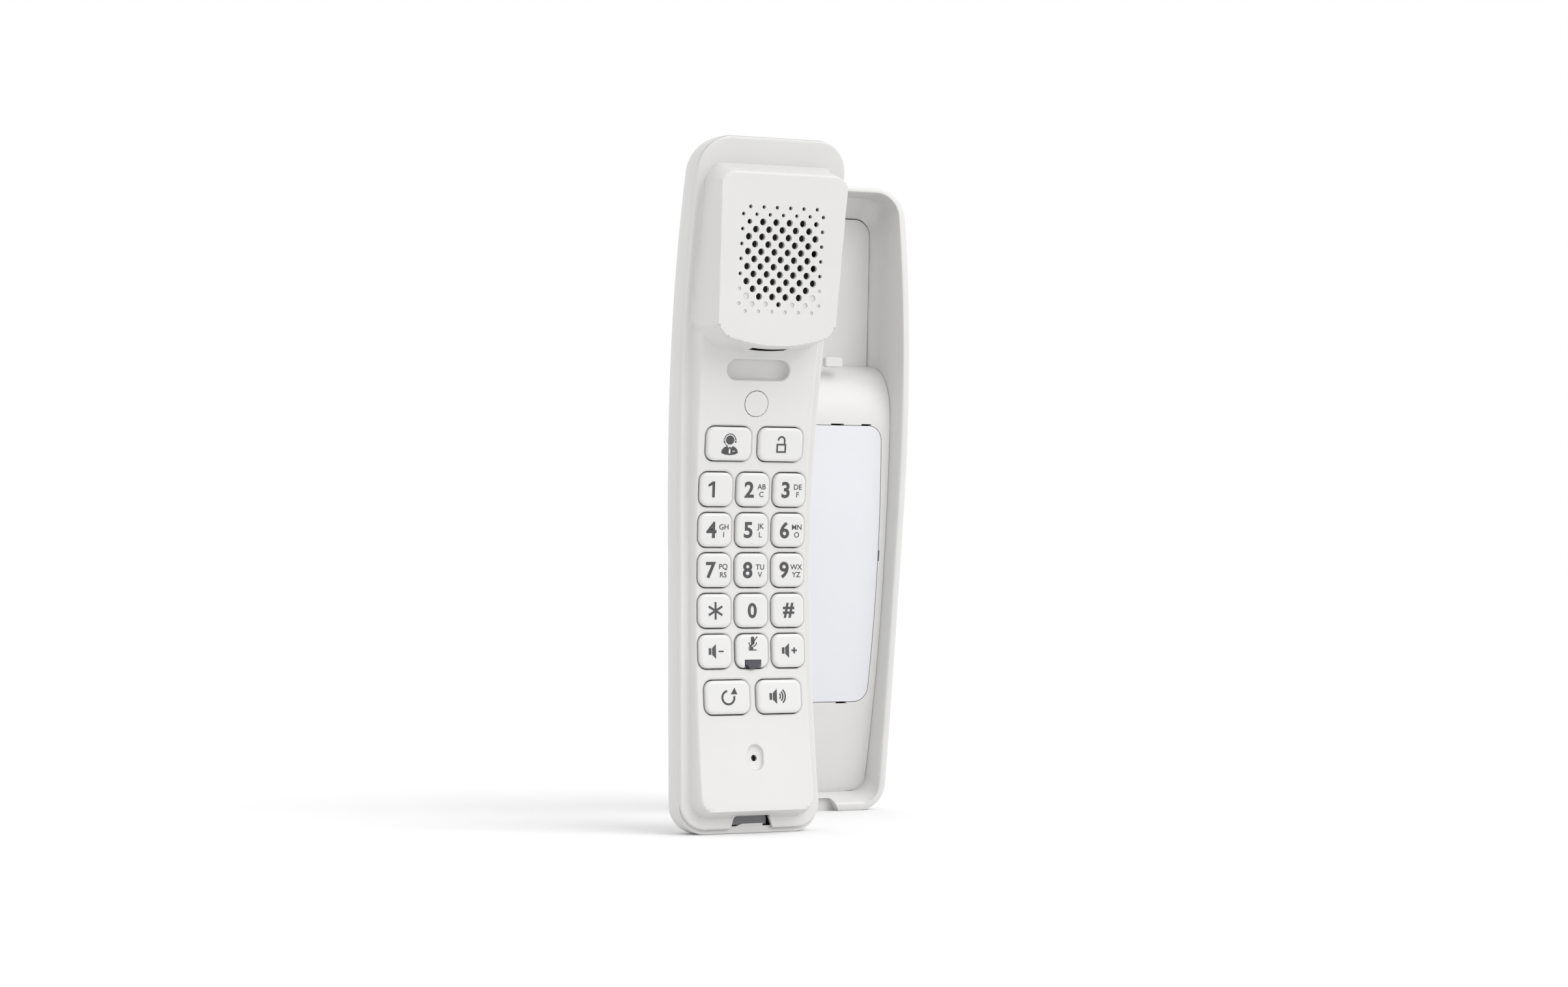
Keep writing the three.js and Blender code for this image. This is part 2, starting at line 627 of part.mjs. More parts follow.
// ---------------------------------------------------------------- cradle tray
const CRADLE_HEIGHTS = steps(0, HANDSET_TOP + 4, 15);
const seatedCurve = (forwardOf, extra) =>
  CRADLE_HEIGHTS.map((z) => seated(forwardOf(z) + extra, z));

const KEYHOLES = [50, 160];
const KEYHOLE_RADIUS = 4.25;
const KEYHOLE_SLOT = 2.3;
const KEYHOLE_RISE = 8;
const CRADLE_SCREWS = [[-15, 58], [15, 58], [-15, 187], [15, 187]];
const COUNTERBORE = 3.3;
const BAY_HALF = 16.5;
const BAY_TOP = 26;
const BAY_DEPTH = 6;
// Inner top of the tray: nearly level above the earpiece, then down to the panel.
const BROW = [[5, 202.4], [-14.6, 201.3], [-20, 195], [-24, 195], [-24, 203.5], [5, 203.5]];
const BORE_DEPTH = 2.6;
const BOSS_BACK = 4.2; // the tray's screw bosses end this far ahead of its back
const SILL_TOP = 6.1; // the floor of the tray slopes up from the rim to the panel
const SILL_BACK = -24.7;
const ARCH_HALF_FOOT = 7;
const ARCH_HALF_TOP = 4.4;
const ARCH_DEPTH = 4.3;

function cradleTray() {
  const rim = seatedCurve(rimForward, RIM_MEET);
  const past = CRADLE_TOP + 10;
  const outer = sideSlab([[CRADLE_BACK, -10], ...rim, [CRADLE_BACK, past]])
    .intersect(frontSlab(rimOutline(0, 0, CRADLE_TOP)));
  const hollowOutline = tallOutline(
    (z) => halfWidth(z) - CRADLE_WALL,
    CRADLE_WALL,
    CRADLE_TOP - CRADLE_TOP_WALL,
    CORNER_BOTTOM - CRADLE_WALL,
    CORNER_TOP - CRADLE_WALL,
  );
  const hollow = block([-SIDE_REACH, CRADLE_BACK + CRADLE_BACK_WALL, -10], [SIDE_REACH, 20, past])
    .intersect(frontSlab(hollowOutline));
  const sill = [
    [seated(rimForward(0), 0)[0] - RIM_MEET, 0],
    [seated(faceForward(PANEL_BOTTOM) + SEAT_CLEAR, PANEL_BOTTOM)[0], SILL_TOP],
    [SILL_BACK, SILL_TOP],
    [SILL_BACK, 0],
  ];
  const ends = union(sideSlab(sill), sideSlab(BROW))
    .intersect(frontSlab(rimOutline(1, 0, CRADLE_TOP)))
    .intersect(outer);
  let tray = outer.subtract(hollow).add(ends);
  for (const [x, z] of CRADLE_SCREWS) {
    tray = tray
      .add(frontPeg(COUNTERBORE + 1.4, x, z, CRADLE_BACK + 0.5, CRADLE_BACK + BOSS_BACK, 20))
      .subtract(frontPeg(COUNTERBORE, x, z, CRADLE_BACK - 1, CRADLE_BACK + BORE_DEPTH, 20))
      .subtract(frontPeg(SCREW_HOLE, x, z, CRADLE_BACK - 1, CRADLE_BACK + CUT, 12));
  }
  for (const z of KEYHOLES) {
    const from = CRADLE_BACK - 1;
    const to = CRADLE_BACK + CRADLE_BACK_WALL + 1;
    tray = tray
      .subtract(frontPeg(KEYHOLE_RADIUS, 0, z, from, to, 20))
      .subtract(frontPeg(KEYHOLE_SLOT, 0, z + KEYHOLE_RISE, from, to, 16))
      .subtract(block([-KEYHOLE_SLOT, from, z], [KEYHOLE_SLOT, to, z + KEYHOLE_RISE]));
  }
  // Bay in the back for the plugs and cords, open at the bottom, and the arch for the handset's plug.
  const bay = block([-BAY_HALF, CRADLE_BACK - 1, -1], [BAY_HALF, CRADLE_BACK + BAY_DEPTH, BAY_TOP]);
  const archFront = seated(rimForward(RIM_BOTTOM), RIM_BOTTOM)[0];
  const arch = frontSlab(
    new THREE.Shape([
      new THREE.Vector2(-ARCH_HALF_FOOT, -1),
      new THREE.Vector2(ARCH_HALF_FOOT, -1),
      new THREE.Vector2(ARCH_HALF_TOP, ARCH_DEPTH),
      new THREE.Vector2(-ARCH_HALF_TOP, ARCH_DEPTH),
    ]),
    archFront - ARCH_DEPTH,
    20,
  );
  return tray.subtract(bay).subtract(arch);
}
addNode(cradle, 'cradle_tray', cradleTray(), 'white');

// ---------------------------------------------------------------- cradle panel and its card
const floorCurve = (extra, bottom, top, count) =>
  steps(bottom, top, count).map((z) => seated(faceForward(z) + SEAT_CLEAR + extra, z));
const PANEL_INSET = CRADLE_WALL + 0.35;
const LUG_HALF = 5.1;
const LUG_RISE = 3.4;

function panelBand(front, back) {
  // Follows the raised face of the seated handset, then steps back at the ledge into the pocket.
  const ledge = seated(faceForward(LEDGE_Z) + SEAT_CLEAR, LEDGE_Z)[1];
  const ahead = floorCurve(front, PANEL_BOTTOM, LEDGE_Z, 10);
  const behind = floorCurve(back, PANEL_BOTTOM, LEDGE_Z - PANEL_THICK, 10);
  return sideSlab([
    ...ahead,
    [POCKET_FLOOR - front, ledge + 1.4],
    [POCKET_FLOOR - front, PANEL_TOP],
    [POCKET_FLOOR - back, PANEL_TOP],
    [POCKET_FLOOR - back, ledge - 0.8],
    ...behind.reverse(),
  ]);
}

const cardOutline = (grow) =>
  roundedRect(
    2 * (CARD_HALF + grow),
    CARD_HIGH - CARD_LOW + 2 * grow,
    CARD_CORNER + grow,
    0,
    (CARD_HIGH + CARD_LOW) / 2,
  );
function cardSheet(front, back, grow) {
  const ahead = floorCurve(front, CARD_LOW - 8, CARD_HIGH + 6, 8);
  const behind = floorCurve(back, CARD_LOW - 8, CARD_HIGH + 6, 8).reverse();
  return sideSlab([...ahead, ...behind]).intersect(frontSlab(cardOutline(grow)));
}

function cradlePanel() {
  const outline = tallOutline(
    (z) => halfWidth(z) - PANEL_INSET,
    PANEL_INSET,
    CRADLE_TOP - PANEL_INSET,
    CORNER_BOTTOM - PANEL_INSET,
    CORNER_TOP - PANEL_INSET,
  );
  let panel = panelBand(0, PANEL_THICK).intersect(frontSlab(outline));
  for (const [x, z] of CRADLE_SCREWS) {
    const reach = z > LEDGE_Z ? POCKET_FLOOR - 1 : seated(faceForward(z) + SEAT_CLEAR + 1, z)[0];
    panel = panel
      .add(frontPeg(2 * PILOT_RADIUS, x, z, CRADLE_BACK + BOSS_BACK + 0.4, reach, 16))
      .subtract(frontPeg(PILOT_RADIUS, x, z, CRADLE_BACK + BOSS_BACK - 0.2, reach - 1.5, 12));
  }
  // Lug on the ledge that catches the notch under the earpiece.
  const [lugForward, lugUp] = seated(earFront(EAR_BOTTOM) - HOOK_BEHIND + HOOK_OPEN / 2, LEDGE_Z);
  const lug = block(
    [-LUG_HALF, lugForward - 1, lugUp - 1.5],
    [LUG_HALF, lugForward + 0.9, lugUp + LUG_RISE],
  );
  panel = panel.add(lug);
  return panel.subtract(cardSheet(-CUT, CARD_RECESS, GAP));
}
addNode(cradle, 'cradle_panel', cradlePanel(), 'white');
addNode(cradle, 'card_cover', cardSheet(0, COVER_THICK, 0), 'clear');
addNode(cradle, 'paper_card', cardSheet(COVER_THICK + GAP, COVER_THICK + GAP + CARD_THICK, -0.5), 'card');

// ---------------------------------------------------------------- pieces inside the cradle
const CRADLE_SCREW_HEAD = [2.8, 1.6, 1.2]; // head radius, head thickness, shank radius
for (const [i, [x, z]] of CRADLE_SCREWS.entries()) {
  const turned = new THREE.Matrix4()
    .makeTranslation(x, -(CRADLE_BACK + BORE_DEPTH - GAP), z)
    .multiply(new THREE.Matrix4().makeRotationZ(Math.PI));
  const length = z > LEDGE_Z ? 5.2 : 8;
  const solid = screw(...CRADLE_SCREW_HEAD, length);
  addNode(cradle, `cradle_screw_${i + 1}`, placed(solid, turned), 'steel');
}
const CRADLE_BOARD_HEIGHT = 72;
const CRADLE_BOARD_MIDDLE = 103;
const CRADLE_BOARD_BACK = -26.7;
const cradleBoard = frontSlab(
  roundedRect(BOARD_WIDTH, CRADLE_BOARD_HEIGHT, 1.5, 0, CRADLE_BOARD_MIDDLE),
  CRADLE_BOARD_BACK,
  CRADLE_BOARD_BACK + BOARD_FRONT - BOARD_BACK,
  3,
);
addNode(cradle, 'cradle_circuit_board', cradleBoard, 'board');
const REED_RADIUS = 1.3;
const REED_LENGTH = 14;
const REED_FORWARD = -12.5;
const REED_Z = 138;
const reed = new THREE.CylinderGeometry(REED_RADIUS, REED_RADIUS, REED_LENGTH, 12);
reed.rotateZ(Math.PI / 2);
reed.translate(0, -REED_FORWARD, REED_Z);
addNode(cradle, 'reed_switch', toSolid(reed), 'clear');

// Sockets above the bay: a narrow one for the handset cord, a wider one for the line.
const SOCKET_BACK = -28.6;
const SOCKET_FRONT = -21;
const SOCKET_WALL = 0.85;
const SOCKET_LOW = BAY_TOP + 0.6;
const SOCKET_HIGH = 39;
[
  ['cradle_cord_socket', -14.7, -3.3, PLUG_HALF],
  ['line_socket', 1, 14.4, 5],
].forEach(([name, left, right, plugHalf]) => {
  const solid = socket(
    [left, SOCKET_BACK, SOCKET_LOW],
    [right, SOCKET_FRONT, SOCKET_HIGH],
    plugHalf,
    SOCKET_BACK + SOCKET_WALL,
    SOCKET_FRONT - SOCKET_WALL,
  );
  addNode(cradle, name, solid, 'jack');
});

export default model;
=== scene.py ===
import json
import math

import bmesh
import bpy
from mathutils import Matrix, Vector


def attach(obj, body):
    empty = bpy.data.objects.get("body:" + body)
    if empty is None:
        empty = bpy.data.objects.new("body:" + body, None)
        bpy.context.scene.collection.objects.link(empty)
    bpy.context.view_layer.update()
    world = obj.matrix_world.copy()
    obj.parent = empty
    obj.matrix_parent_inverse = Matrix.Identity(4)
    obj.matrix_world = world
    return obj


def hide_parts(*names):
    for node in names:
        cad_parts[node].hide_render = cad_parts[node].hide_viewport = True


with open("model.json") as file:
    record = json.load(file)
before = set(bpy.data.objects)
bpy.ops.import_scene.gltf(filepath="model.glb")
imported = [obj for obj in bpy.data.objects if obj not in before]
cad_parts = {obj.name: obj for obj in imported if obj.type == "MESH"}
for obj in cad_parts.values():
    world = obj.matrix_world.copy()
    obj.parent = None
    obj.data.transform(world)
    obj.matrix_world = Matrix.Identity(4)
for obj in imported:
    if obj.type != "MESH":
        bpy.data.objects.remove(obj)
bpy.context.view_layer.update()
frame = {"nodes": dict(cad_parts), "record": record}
nodes = frame["nodes"]

# ------------------------------------------------------------------ sizes, millimetres
# Named as in the CAD part. The rim's top and the keys' height differ a little from it.
GAP = 0.3
WAIST_Z, WAIST_HALF, TOP_FLARE, FOOT_FLARE = 80, 22.15, 2.55, 1.0
HANDSET_TOP, RIM_BOTTOM, RIM_TOP = 208.5, 1.4, 208.1
SHELL_DEPTH, SHELL_ROUND, BAND_THICK = 14, 7, 1.2
FACE_BOTTOM, EAR_BOTTOM, EAR_TOP = 5.1, 148, 198.5
CORNER_BOTTOM, CORNER_TOP = 8.5, 10
GRILLE_Z, GRILLE_PITCH, GRILLE_ROW = 171.5, 4.45, 2.21
KEY_HEIGHT, KEY_NARROW, KEY_WIDE, KEY_COLUMN, KEY_WIDE_OFFSET = 10.1, 10.7, 14.8, 12.35, 8.7
KEY_CORNER, KEY_PROUD, KEY_CLEAR = 2.6, 1.0, 0.35
ANCHOR_Z, ANCHOR_WIDTH, ANCHOR_HEIGHT, ANCHOR_DEPTH = 139.5, 21, 6.3, 3.2
DISC_Z, DISC_RADIUS, MIC_Z = 129.4, 3.85, 22.9
SEAT_TILT, SEAT_LIFT, SEAT_APEX_Z, RIM_MEET, SEAT_CLEAR = 0.13, 0.55, 143.8, 0.4, 1.8
CRADLE_TOP, CRADLE_BACK, CRADLE_WALL, CRADLE_TOP_WALL = 204, -31, 2.3, 1.6
PANEL_TOP, POCKET_FLOOR, LEDGE_Z = 194.7, -20, 145.4
CARD_LOW, CARD_HIGH, CARD_HALF, CARD_CORNER = 36, 126, 15.8, 4.5
HALVES_APART_X, HALVES_APART_Y = 60.7, 48.6

MM = 0.001


def smin(a, b, k):
    h = max(0.0, min(1.0, 0.5 + 0.5 * (b - a) / k))
    return b + (a - b) * h - k * h * (1 - h)


def smax(a, b, k):
    return -smin(-a, -b, k)


def ease(t):
    t = max(0.0, min(1.0, t))
    return t * t * (3 - 2 * t)


def rounding(radius, distance):
    """How far a rounded edge falls back, at a distance inside its outline."""
    if distance >= radius:
        return 0
    return radius - math.sqrt(max(0.0, radius**2 - (radius - distance) ** 2))


def half_width(z):
    if z < WAIST_Z:
        return WAIST_HALF + FOOT_FLARE * ((WAIST_Z - z) / 63) ** 2
    return WAIST_HALF + TOP_FLARE * math.sin(math.pi / 2 * min(1, (z - WAIST_Z) / 125)) ** 1.5


def rim_forward(z):
    return (z - WAIST_Z) ** 2 / (800 if z > WAIST_Z else 1600)


def face_forward(z):
    return 3 + (z - 74) ** 2 / 788


def ear_front(z):
    return 20.6 + 0.128 * (z - 150)


SET_DEPTH = HALVES_APART_Y + ear_front(EAR_TOP) - CRADLE_BACK
HANDSET_X, CRADLE_X = -HALVES_APART_X / 2, HALVES_APART_X / 2
HANDSET_Y = ear_front(EAR_TOP) - SET_DEPTH / 2
CRADLE_Y = HANDSET_Y + HALVES_APART_Y
SEAT_FORWARD = rim_forward(SEAT_APEX_Z) - SEAT_TILT * SEAT_APEX_Z


def seated(forward, z):
    """A handset point, forward and up, as the cradle's forward and up when hung up."""
    s, c = math.sin(SEAT_TILT), math.cos(SEAT_TILT)
    return SEAT_FORWARD + z * s - forward * c, SEAT_LIFT + z * c + forward * s


def handset_point(across, forward, up):
    return Vector((HANDSET_X + across, HANDSET_Y - forward, up)) * MM


def cradle_point(across, forward, up):
    return Vector((CRADLE_X + across, CRADLE_Y - forward, up)) * MM


# ------------------------------------------------------------------ mesh helpers
def finish_mesh(name, verts, faces, angle=35, weld=1e-6):
    mesh = bpy.data.meshes.new(name)
    bm = bmesh.new()
    made = [bm.verts.new(v) for v in verts]
    for face in faces:
        if len(set(face)) > 2:
            bm.faces.new([made[i] for i in face])
    bmesh.ops.remove_doubles(bm, verts=bm.verts, dist=weld)
    bmesh.ops.dissolve_degenerate(bm, dist=weld, edges=bm.edges)
    bmesh.ops.recalc_face_normals(bm, faces=bm.faces)
    bm.to_mesh(mesh)
    bm.free()
    shade(mesh, angle)
    obj = bpy.data.objects.new(name, mesh)
    bpy.context.scene.collection.objects.link(obj)
    return obj


def shade(mesh, angle):
    mesh.shade_smooth()
    mesh.set_sharp_from_angle(angle=math.radians(angle))


def two_sheets(name, front, back, angle=35):
    """Closed solid from two sheets of points with the same rows and columns."""
    rows, cols = len(front), len(front[0])
    verts = [p for row in front for p in row] + [p for row in back for p in row]
    far = rows * cols
    faces = []
    for r in range(rows - 1):
        for c in range(cols - 1):
            a = r * cols + c
            faces.append((a, a + 1, a + cols + 1, a + cols))
            faces.append((far + a, far + a + cols, far + a + cols + 1, far + a + 1))
    edge = [c for c in range(cols)]
    edge += [r * cols + cols - 1 for r in range(1, rows)]
    edge += [(rows - 1) * cols + c for c in range(cols - 2, -1, -1)]
    edge += [r * cols for r in range(rows - 2, 0, -1)]
    for a, b in zip(edge, edge[1:] + edge[:1]):
        faces.append((a, b, far + b, far + a))
    return finish_mesh(name, verts, faces, angle)


def remove(obj):
    data = obj.data
    bpy.data.objects.remove(obj)
    bpy.data.meshes.remove(data)


def joined(tools):
    """One tool from several that don't touch each other."""
    bm = bmesh.new()
    for tool in tools:
        bm.from_mesh(tool.data)
    bm.to_mesh(tools[0].data)
    bm.free()
    for tool in tools[1:]:
        remove(tool)
    return tools[0]


def boolean(obj, *groups, operation="DIFFERENCE"):
    """Cuts or adds groups of tools, then deletes them. The tools of a group don't touch each other."""
    tools = [joined(group) for group in groups]
    for tool in tools:
        mod = obj.modifiers.new("cut", "BOOLEAN")
        mod.operation, mod.object, mod.solver = operation, tool, "MANIFOLD"
    graph = bpy.context.evaluated_depsgraph_get()
    mesh = bpy.data.meshes.new_from_object(obj.evaluated_get(graph))
    obj.modifiers.clear()
    old, obj.data = obj.data, mesh
    bpy.data.meshes.remove(old)
    for tool in tools:
        remove(tool)


def stack(name, rings, matrix=None, angle=35):
    """Closed solid through rings of equal point counts, first and last ring capped."""
    count = len(rings[0])
    verts = [Vector(p) for ring in rings for p in ring]
    if matrix is not None:
        verts = [matrix @ v for v in verts]
    verts = [v * MM for v in verts]
    faces = []
    for r in range(len(rings) - 1):
        for i in range(count):
            j = (i + 1) % count
            faces.append((r * count + i, r * count + j, (r + 1) * count + j, (r + 1) * count + i))
    faces.append(tuple(range(count)))
    faces.append(tuple(range((len(rings) - 1) * count, len(rings) * count)))
    return finish_mesh(name, verts, faces, angle)


def rounded(width, height, radius, arc=6, cx=0.0, cz=0.0):
    """Rounded rectangle as [across, up] points."""
    radius = max(0.02, min(radius, width / 2 - 0.01, height / 2 - 0.01))
    points = []
    for k, (sx, sz) in enumerate(((1, 1), (-1, 1), (-1, -1), (1, -1))):
        for i in range(arc + 1):
            t = math.pi / 2 * (k + i / arc)
            points.append((
                cx + sx * (width / 2 - radius) + radius * math.cos(t),
                cz + sz * (height / 2 - radius) + radius * math.sin(t),
            ))
    return points


def ring(points, forward):
    return [(x, -forward, z) for x, z in points]


def well(name, width, height, radius, depth, lip, place, arc=6, floor_round=0.0):
    """Cutter for a well with a rounded lip, and a rounded floor if asked."""
    rings = []
    for k in range(4 if floor_round else 0):
        t = math.pi / 2 * k / 4
        inset = floor_round * (1 - math.sin(t))
        out = rounded(width - 2 * inset, height - 2 * inset, radius - inset, arc)
        rings.append(ring(out, -depth + floor_round * (1 - math.cos(t))))
    rings.append(ring(rounded(width, height, radius, arc), -depth + floor_round))
    for k in range(5):
        t = math.pi / 2 * k / 4
        grow = lip * (1 - math.cos(t))
        out = rounded(width + 2 * grow, height + 2 * grow, radius + grow, arc)
        rings.append(ring(out, -lip * (1 - math.sin(t))))
    out = rounded(width + 2 * lip, height + 2 * lip, radius + lip, arc)
    rings.append(ring(out, 4))
    return stack(name, rings, place)


def block(name, low, high, place=None):
    """Box from low to high corners given as [across, forward, up]."""
    (x0, f0, z0), (x1, f1, z1) = low, high
    base = [(x0, -f0, z0), (x1, -f0, z0), (x1, -f1, z0), (x0, -f1, z0)]
    return stack(name, [base, [(x, y, z1) for x, y, _ in base]], place)


def prism(name, points, start, end, place=None):
    """Front outline of [across, up] points run from one forward distance to another."""
    return stack(name, [ring(points, start), ring(points, end)], place)


def peg(name, radius, x, z, start, end, place=None, sides=20):
    points = [
        (x + radius * math.cos(2 * math.pi * i / sides), z + radius * math.sin(2 * math.pi * i / sides))
        for i in range(sides)
    ]
    return prism(name, points, start, end, place)


HANDSET_PLACE = Matrix.Translation((HANDSET_X, HANDSET_Y, 0))
CRADLE_PLACE = Matrix.Translation((CRADLE_X, CRADLE_Y, 0))


def on_face(across, z):
    """Frame on the raised face at a height: its -Y is the outward normal."""
    turn = Matrix.Rotation((z - 74) / 394, 4, "X")
    return HANDSET_PLACE @ Matrix.Translation((across, -face_forward(z), z)) @ turn


def on_ear(across, along):
    turn = Matrix.Rotation(math.atan(0.128), 4, "X")
    place = HANDSET_PLACE @ Matrix.Translation((0, -ear_front(GRILLE_Z), GRILLE_Z)) @ turn
    return place @ Matrix.Translation((across, 0, along))


def spread(stops):
    """Values through (from, to, step) stretches, without repeats."""
    values = []
    for low, high, step in stops:
        count = max(1, round((high - low) / step))
        values += [low + (high - low) * i / count for i in range(count)]
    return values + [stops[-1][1]]


def outline_half(z, bottom, top, corner_bottom, corner_top, width):
    """Half width of a tall outline with rounded corners."""
    half = width
    for corner, gone in ((corner_bottom, z - bottom), (corner_top, top - z)):
        if gone < corner:
            half -= rounding(corner, gone)
    return half


def inside(x, z, bottom, top, corner_bottom, corner_top, width):
    """Distance from the outline of a tall shape with rounded corners, positive inside."""
    dx = width - abs(x)
    low = z - bottom < top - z
    corner, dz = (corner_bottom, z - bottom) if low else (corner_top, top - z)
    if dx < corner and dz < corner:
        return corner - math.hypot(corner - dx, corner - dz)
    return min(dx, dz)


def corner_rows(bottom, top, corner_bottom, corner_top, middle, steps=9):
    """Row heights that crowd into the two rounded ends; middle is a list of shares of the rest."""
    low = [bottom + corner_bottom * (1 - math.cos(math.pi / 2 * i / steps)) for i in range(steps)]
    high = [top - corner_top * (1 - math.cos(math.pi / 2 * i / steps)) for i in range(steps)][::-1]
    start, end = bottom + corner_bottom, top - corner_top
    return low + [start + (end - start) * t for t in middle] + high


def columns(outer=26, inner=16, knee=0.72):
    side = [knee * i / inner for i in range(inner)]
    side += [knee + (1 - knee) * i / outer for i in range(outer + 1)]
    return [-u for u in side[:0:-1]] + side


# ------------------------------------------------------------------ materials
def material(name, color, rough, grain=0.0, grain_scale=900, tint=0.02, wave=0.0, **inputs):
    """Moulded plastic or metal: mottled tint, varied roughness, fine grain and slow waviness."""
    mat = bpy.data.materials.new(name)
    mat.use_nodes = True
    tree = mat.node_tree
    bsdf = tree.nodes["Principled BSDF"]
    new, link = tree.nodes.new, tree.links.new
    coords = new("ShaderNodeTexCoord")

    def noise(scale, detail, roughness=0.5):
        node = new("ShaderNodeTexNoise")
        node.inputs["Scale"].default_value = scale
        node.inputs["Detail"].default_value = detail
        node.inputs["Roughness"].default_value = roughness
        link(coords.outputs["Object"], node.inputs["Vector"])
        return node.outputs["Fac"]

    def ramp(value, low, high):
        node = new("ShaderNodeMapRange")
        node.inputs["From Min"].default_value = 0.3
        node.inputs["From Max"].default_value = 0.7
        node.inputs["To Min"].default_value = low
        node.inputs["To Max"].default_value = high
        link(value, node.inputs["Value"])
        return node.outputs["Result"]

    mix = new("ShaderNodeMix")
    mix.data_type = "RGBA"
    mix.inputs["A"].default_value = [c * (1 - tint) for c in color[:3]] + [1]
    mix.inputs["B"].default_value = [min(1, c * (1 + tint)) for c in color[:3]] + [1]
    link(ramp(noise(60, 3), 0, 1), mix.inputs["Factor"])
    link(mix.outputs["Result"], bsdf.inputs["Base Color"])
    link(ramp(noise(220, 4, 0.6), rough * 0.88, min(1, rough * 1.12)), bsdf.inputs["Roughness"])
    normal = None
    for scale, distance in ((grain_scale, grain), (35, wave)):
        if distance:
            bump = new("ShaderNodeBump")
            bump.inputs["Strength"].default_value = 1.0
            bump.inputs["Distance"].default_value = distance * MM
            link(noise(scale, 2), bump.inputs["Height"])
            if normal:
                link(normal, bump.inputs["Normal"])
            normal = bump.outputs["Normal"]
    if normal:
        link(normal, bsdf.inputs["Normal"])
    for key, value in inputs.items():
        bsdf.inputs[key.replace("_", " ")].default_value = value
    return mat


WHITE = (0.625, 0.62, 0.614)
LOOKS = {
    "white_plastic": material("satin_white_abs", WHITE, 0.36, grain=0.004, tint=0.012, wave=0.02),
    "key_plastic": material("satin_key_abs", (0.645, 0.641, 0.636), 0.33, grain=0.003, tint=0.01),
    "window_plastic": material("glossy_window", (0.68, 0.685, 0.72), 0.09, grain=0.0, tint=0.008, wave=0.03),
    "card": material("paper_card", (0.82, 0.82, 0.82), 0.85, grain=0.01, grain_scale=1500),
    "silicone": material("grey_silicone", (0.5, 0.49, 0.47), 0.6, grain=0.006),
    "black_rubber": material("black_rubber", (0.02, 0.02, 0.02), 0.7, grain=0.01, tint=0.2),
    "circuit_board": material("solder_mask", (0.02, 0.12, 0.05), 0.35, grain=0.004, tint=0.15),
    "black_plastic": material("black_plastic", (0.03, 0.028, 0.027), 0.55, grain=0.01, tint=0.2),
    "socket_plastic": material("smoke_plastic", (0.16, 0.16, 0.17), 0.25, grain=0.002, tint=0.1),
    "lens_plastic": material("smoked_lens", (0.06, 0.06, 0.07), 0.15, tint=0.1, wave=0.01),
    "reed_glass": material("reed_glass", (0.7, 0.8, 0.78), 0.05, Transmission_Weight=0.9, IOR=1.5),
    "steel": material("zinc_steel", (0.55, 0.55, 0.56), 0.3, grain=0.003, tint=0.06, Metallic=1.0),
    "magnet_plating": material("nickel", (0.7, 0.7, 0.72), 0.18, grain=0.002, tint=0.05, Metallic=1.0),
}
INK = material("legend_ink", (0.055, 0.055, 0.058), 0.5, grain=0.003, tint=0.1)

for part in frame["record"]["subparts"]:
    node = nodes[part["node"]]
    node.data.materials.clear()
    node.data.materials.append(LOOKS[part["material_slot"]])


def install(obj, body, slot_name, *stands_for, look=None):
    obj.data.materials.clear()
    obj.data.materials.append(look or LOOKS[slot_name])
    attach(obj, body)
    if stands_for:
        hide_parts(*stands_for)
    return obj


# ------------------------------------------------------------------ camera, light, floor
CAMERA_AT = (-509.5, -977.65, 82.8)
CAMERA_YAW, CAMERA_PITCH = math.radians(27.35), math.radians(1.06)
SUN_TOWARDS = (-0.38, 0.62, -0.66)
camera_data = bpy.data.cameras.new("camera")
camera_data.lens = 80.7
camera_data.sensor_width = 36
camera_data.clip_end = 50
camera = bpy.data.objects.new("camera", camera_data)
camera.location = Vector(CAMERA_AT) * MM
level = math.cos(CAMERA_PITCH)
look = Vector((math.sin(CAMERA_YAW) * level, math.cos(CAMERA_YAW) * level, math.sin(CAMERA_PITCH)))
camera.rotation_euler = look.to_track_quat("-Z", "Y").to_euler()
bpy.context.scene.collection.objects.link(camera)
bpy.context.scene.camera = camera

bpy.context.scene.view_settings.view_transform = "Standard"
world = bpy.data.worlds.new("studio")
world.use_nodes = True
world.node_tree.nodes["Background"].inputs["Color"].default_value = (1, 1, 1, 1)
world.node_tree.nodes["Background"].inputs["Strength"].default_value = 1.0
bpy.context.scene.world = world

sun_data = bpy.data.lights.new("sun", "SUN")
sun_data.energy, sun_data.angle = 1.4, math.radians(50)
sun = bpy.data.objects.new("sun", sun_data)
sun.rotation_euler = Vector(SUN_TOWARDS).to_track_quat("-Z", "Y").to_euler()
bpy.context.scene.collection.objects.link(sun)

floor_mesh = bpy.data.meshes.new("floor")
floor_bm = bmesh.new()
bmesh.ops.create_grid(floor_bm, x_segments=8, y_segments=8, size=12)
floor_bm.to_mesh(floor_mesh)
floor_bm.free()
floor = bpy.data.objects.new("floor", floor_mesh)
floor_mesh.materials.append(material("pale_floor", (0.82, 0.82, 0.82), 0.8, tint=0.004))
bpy.context.scene.collection.objects.link(floor)

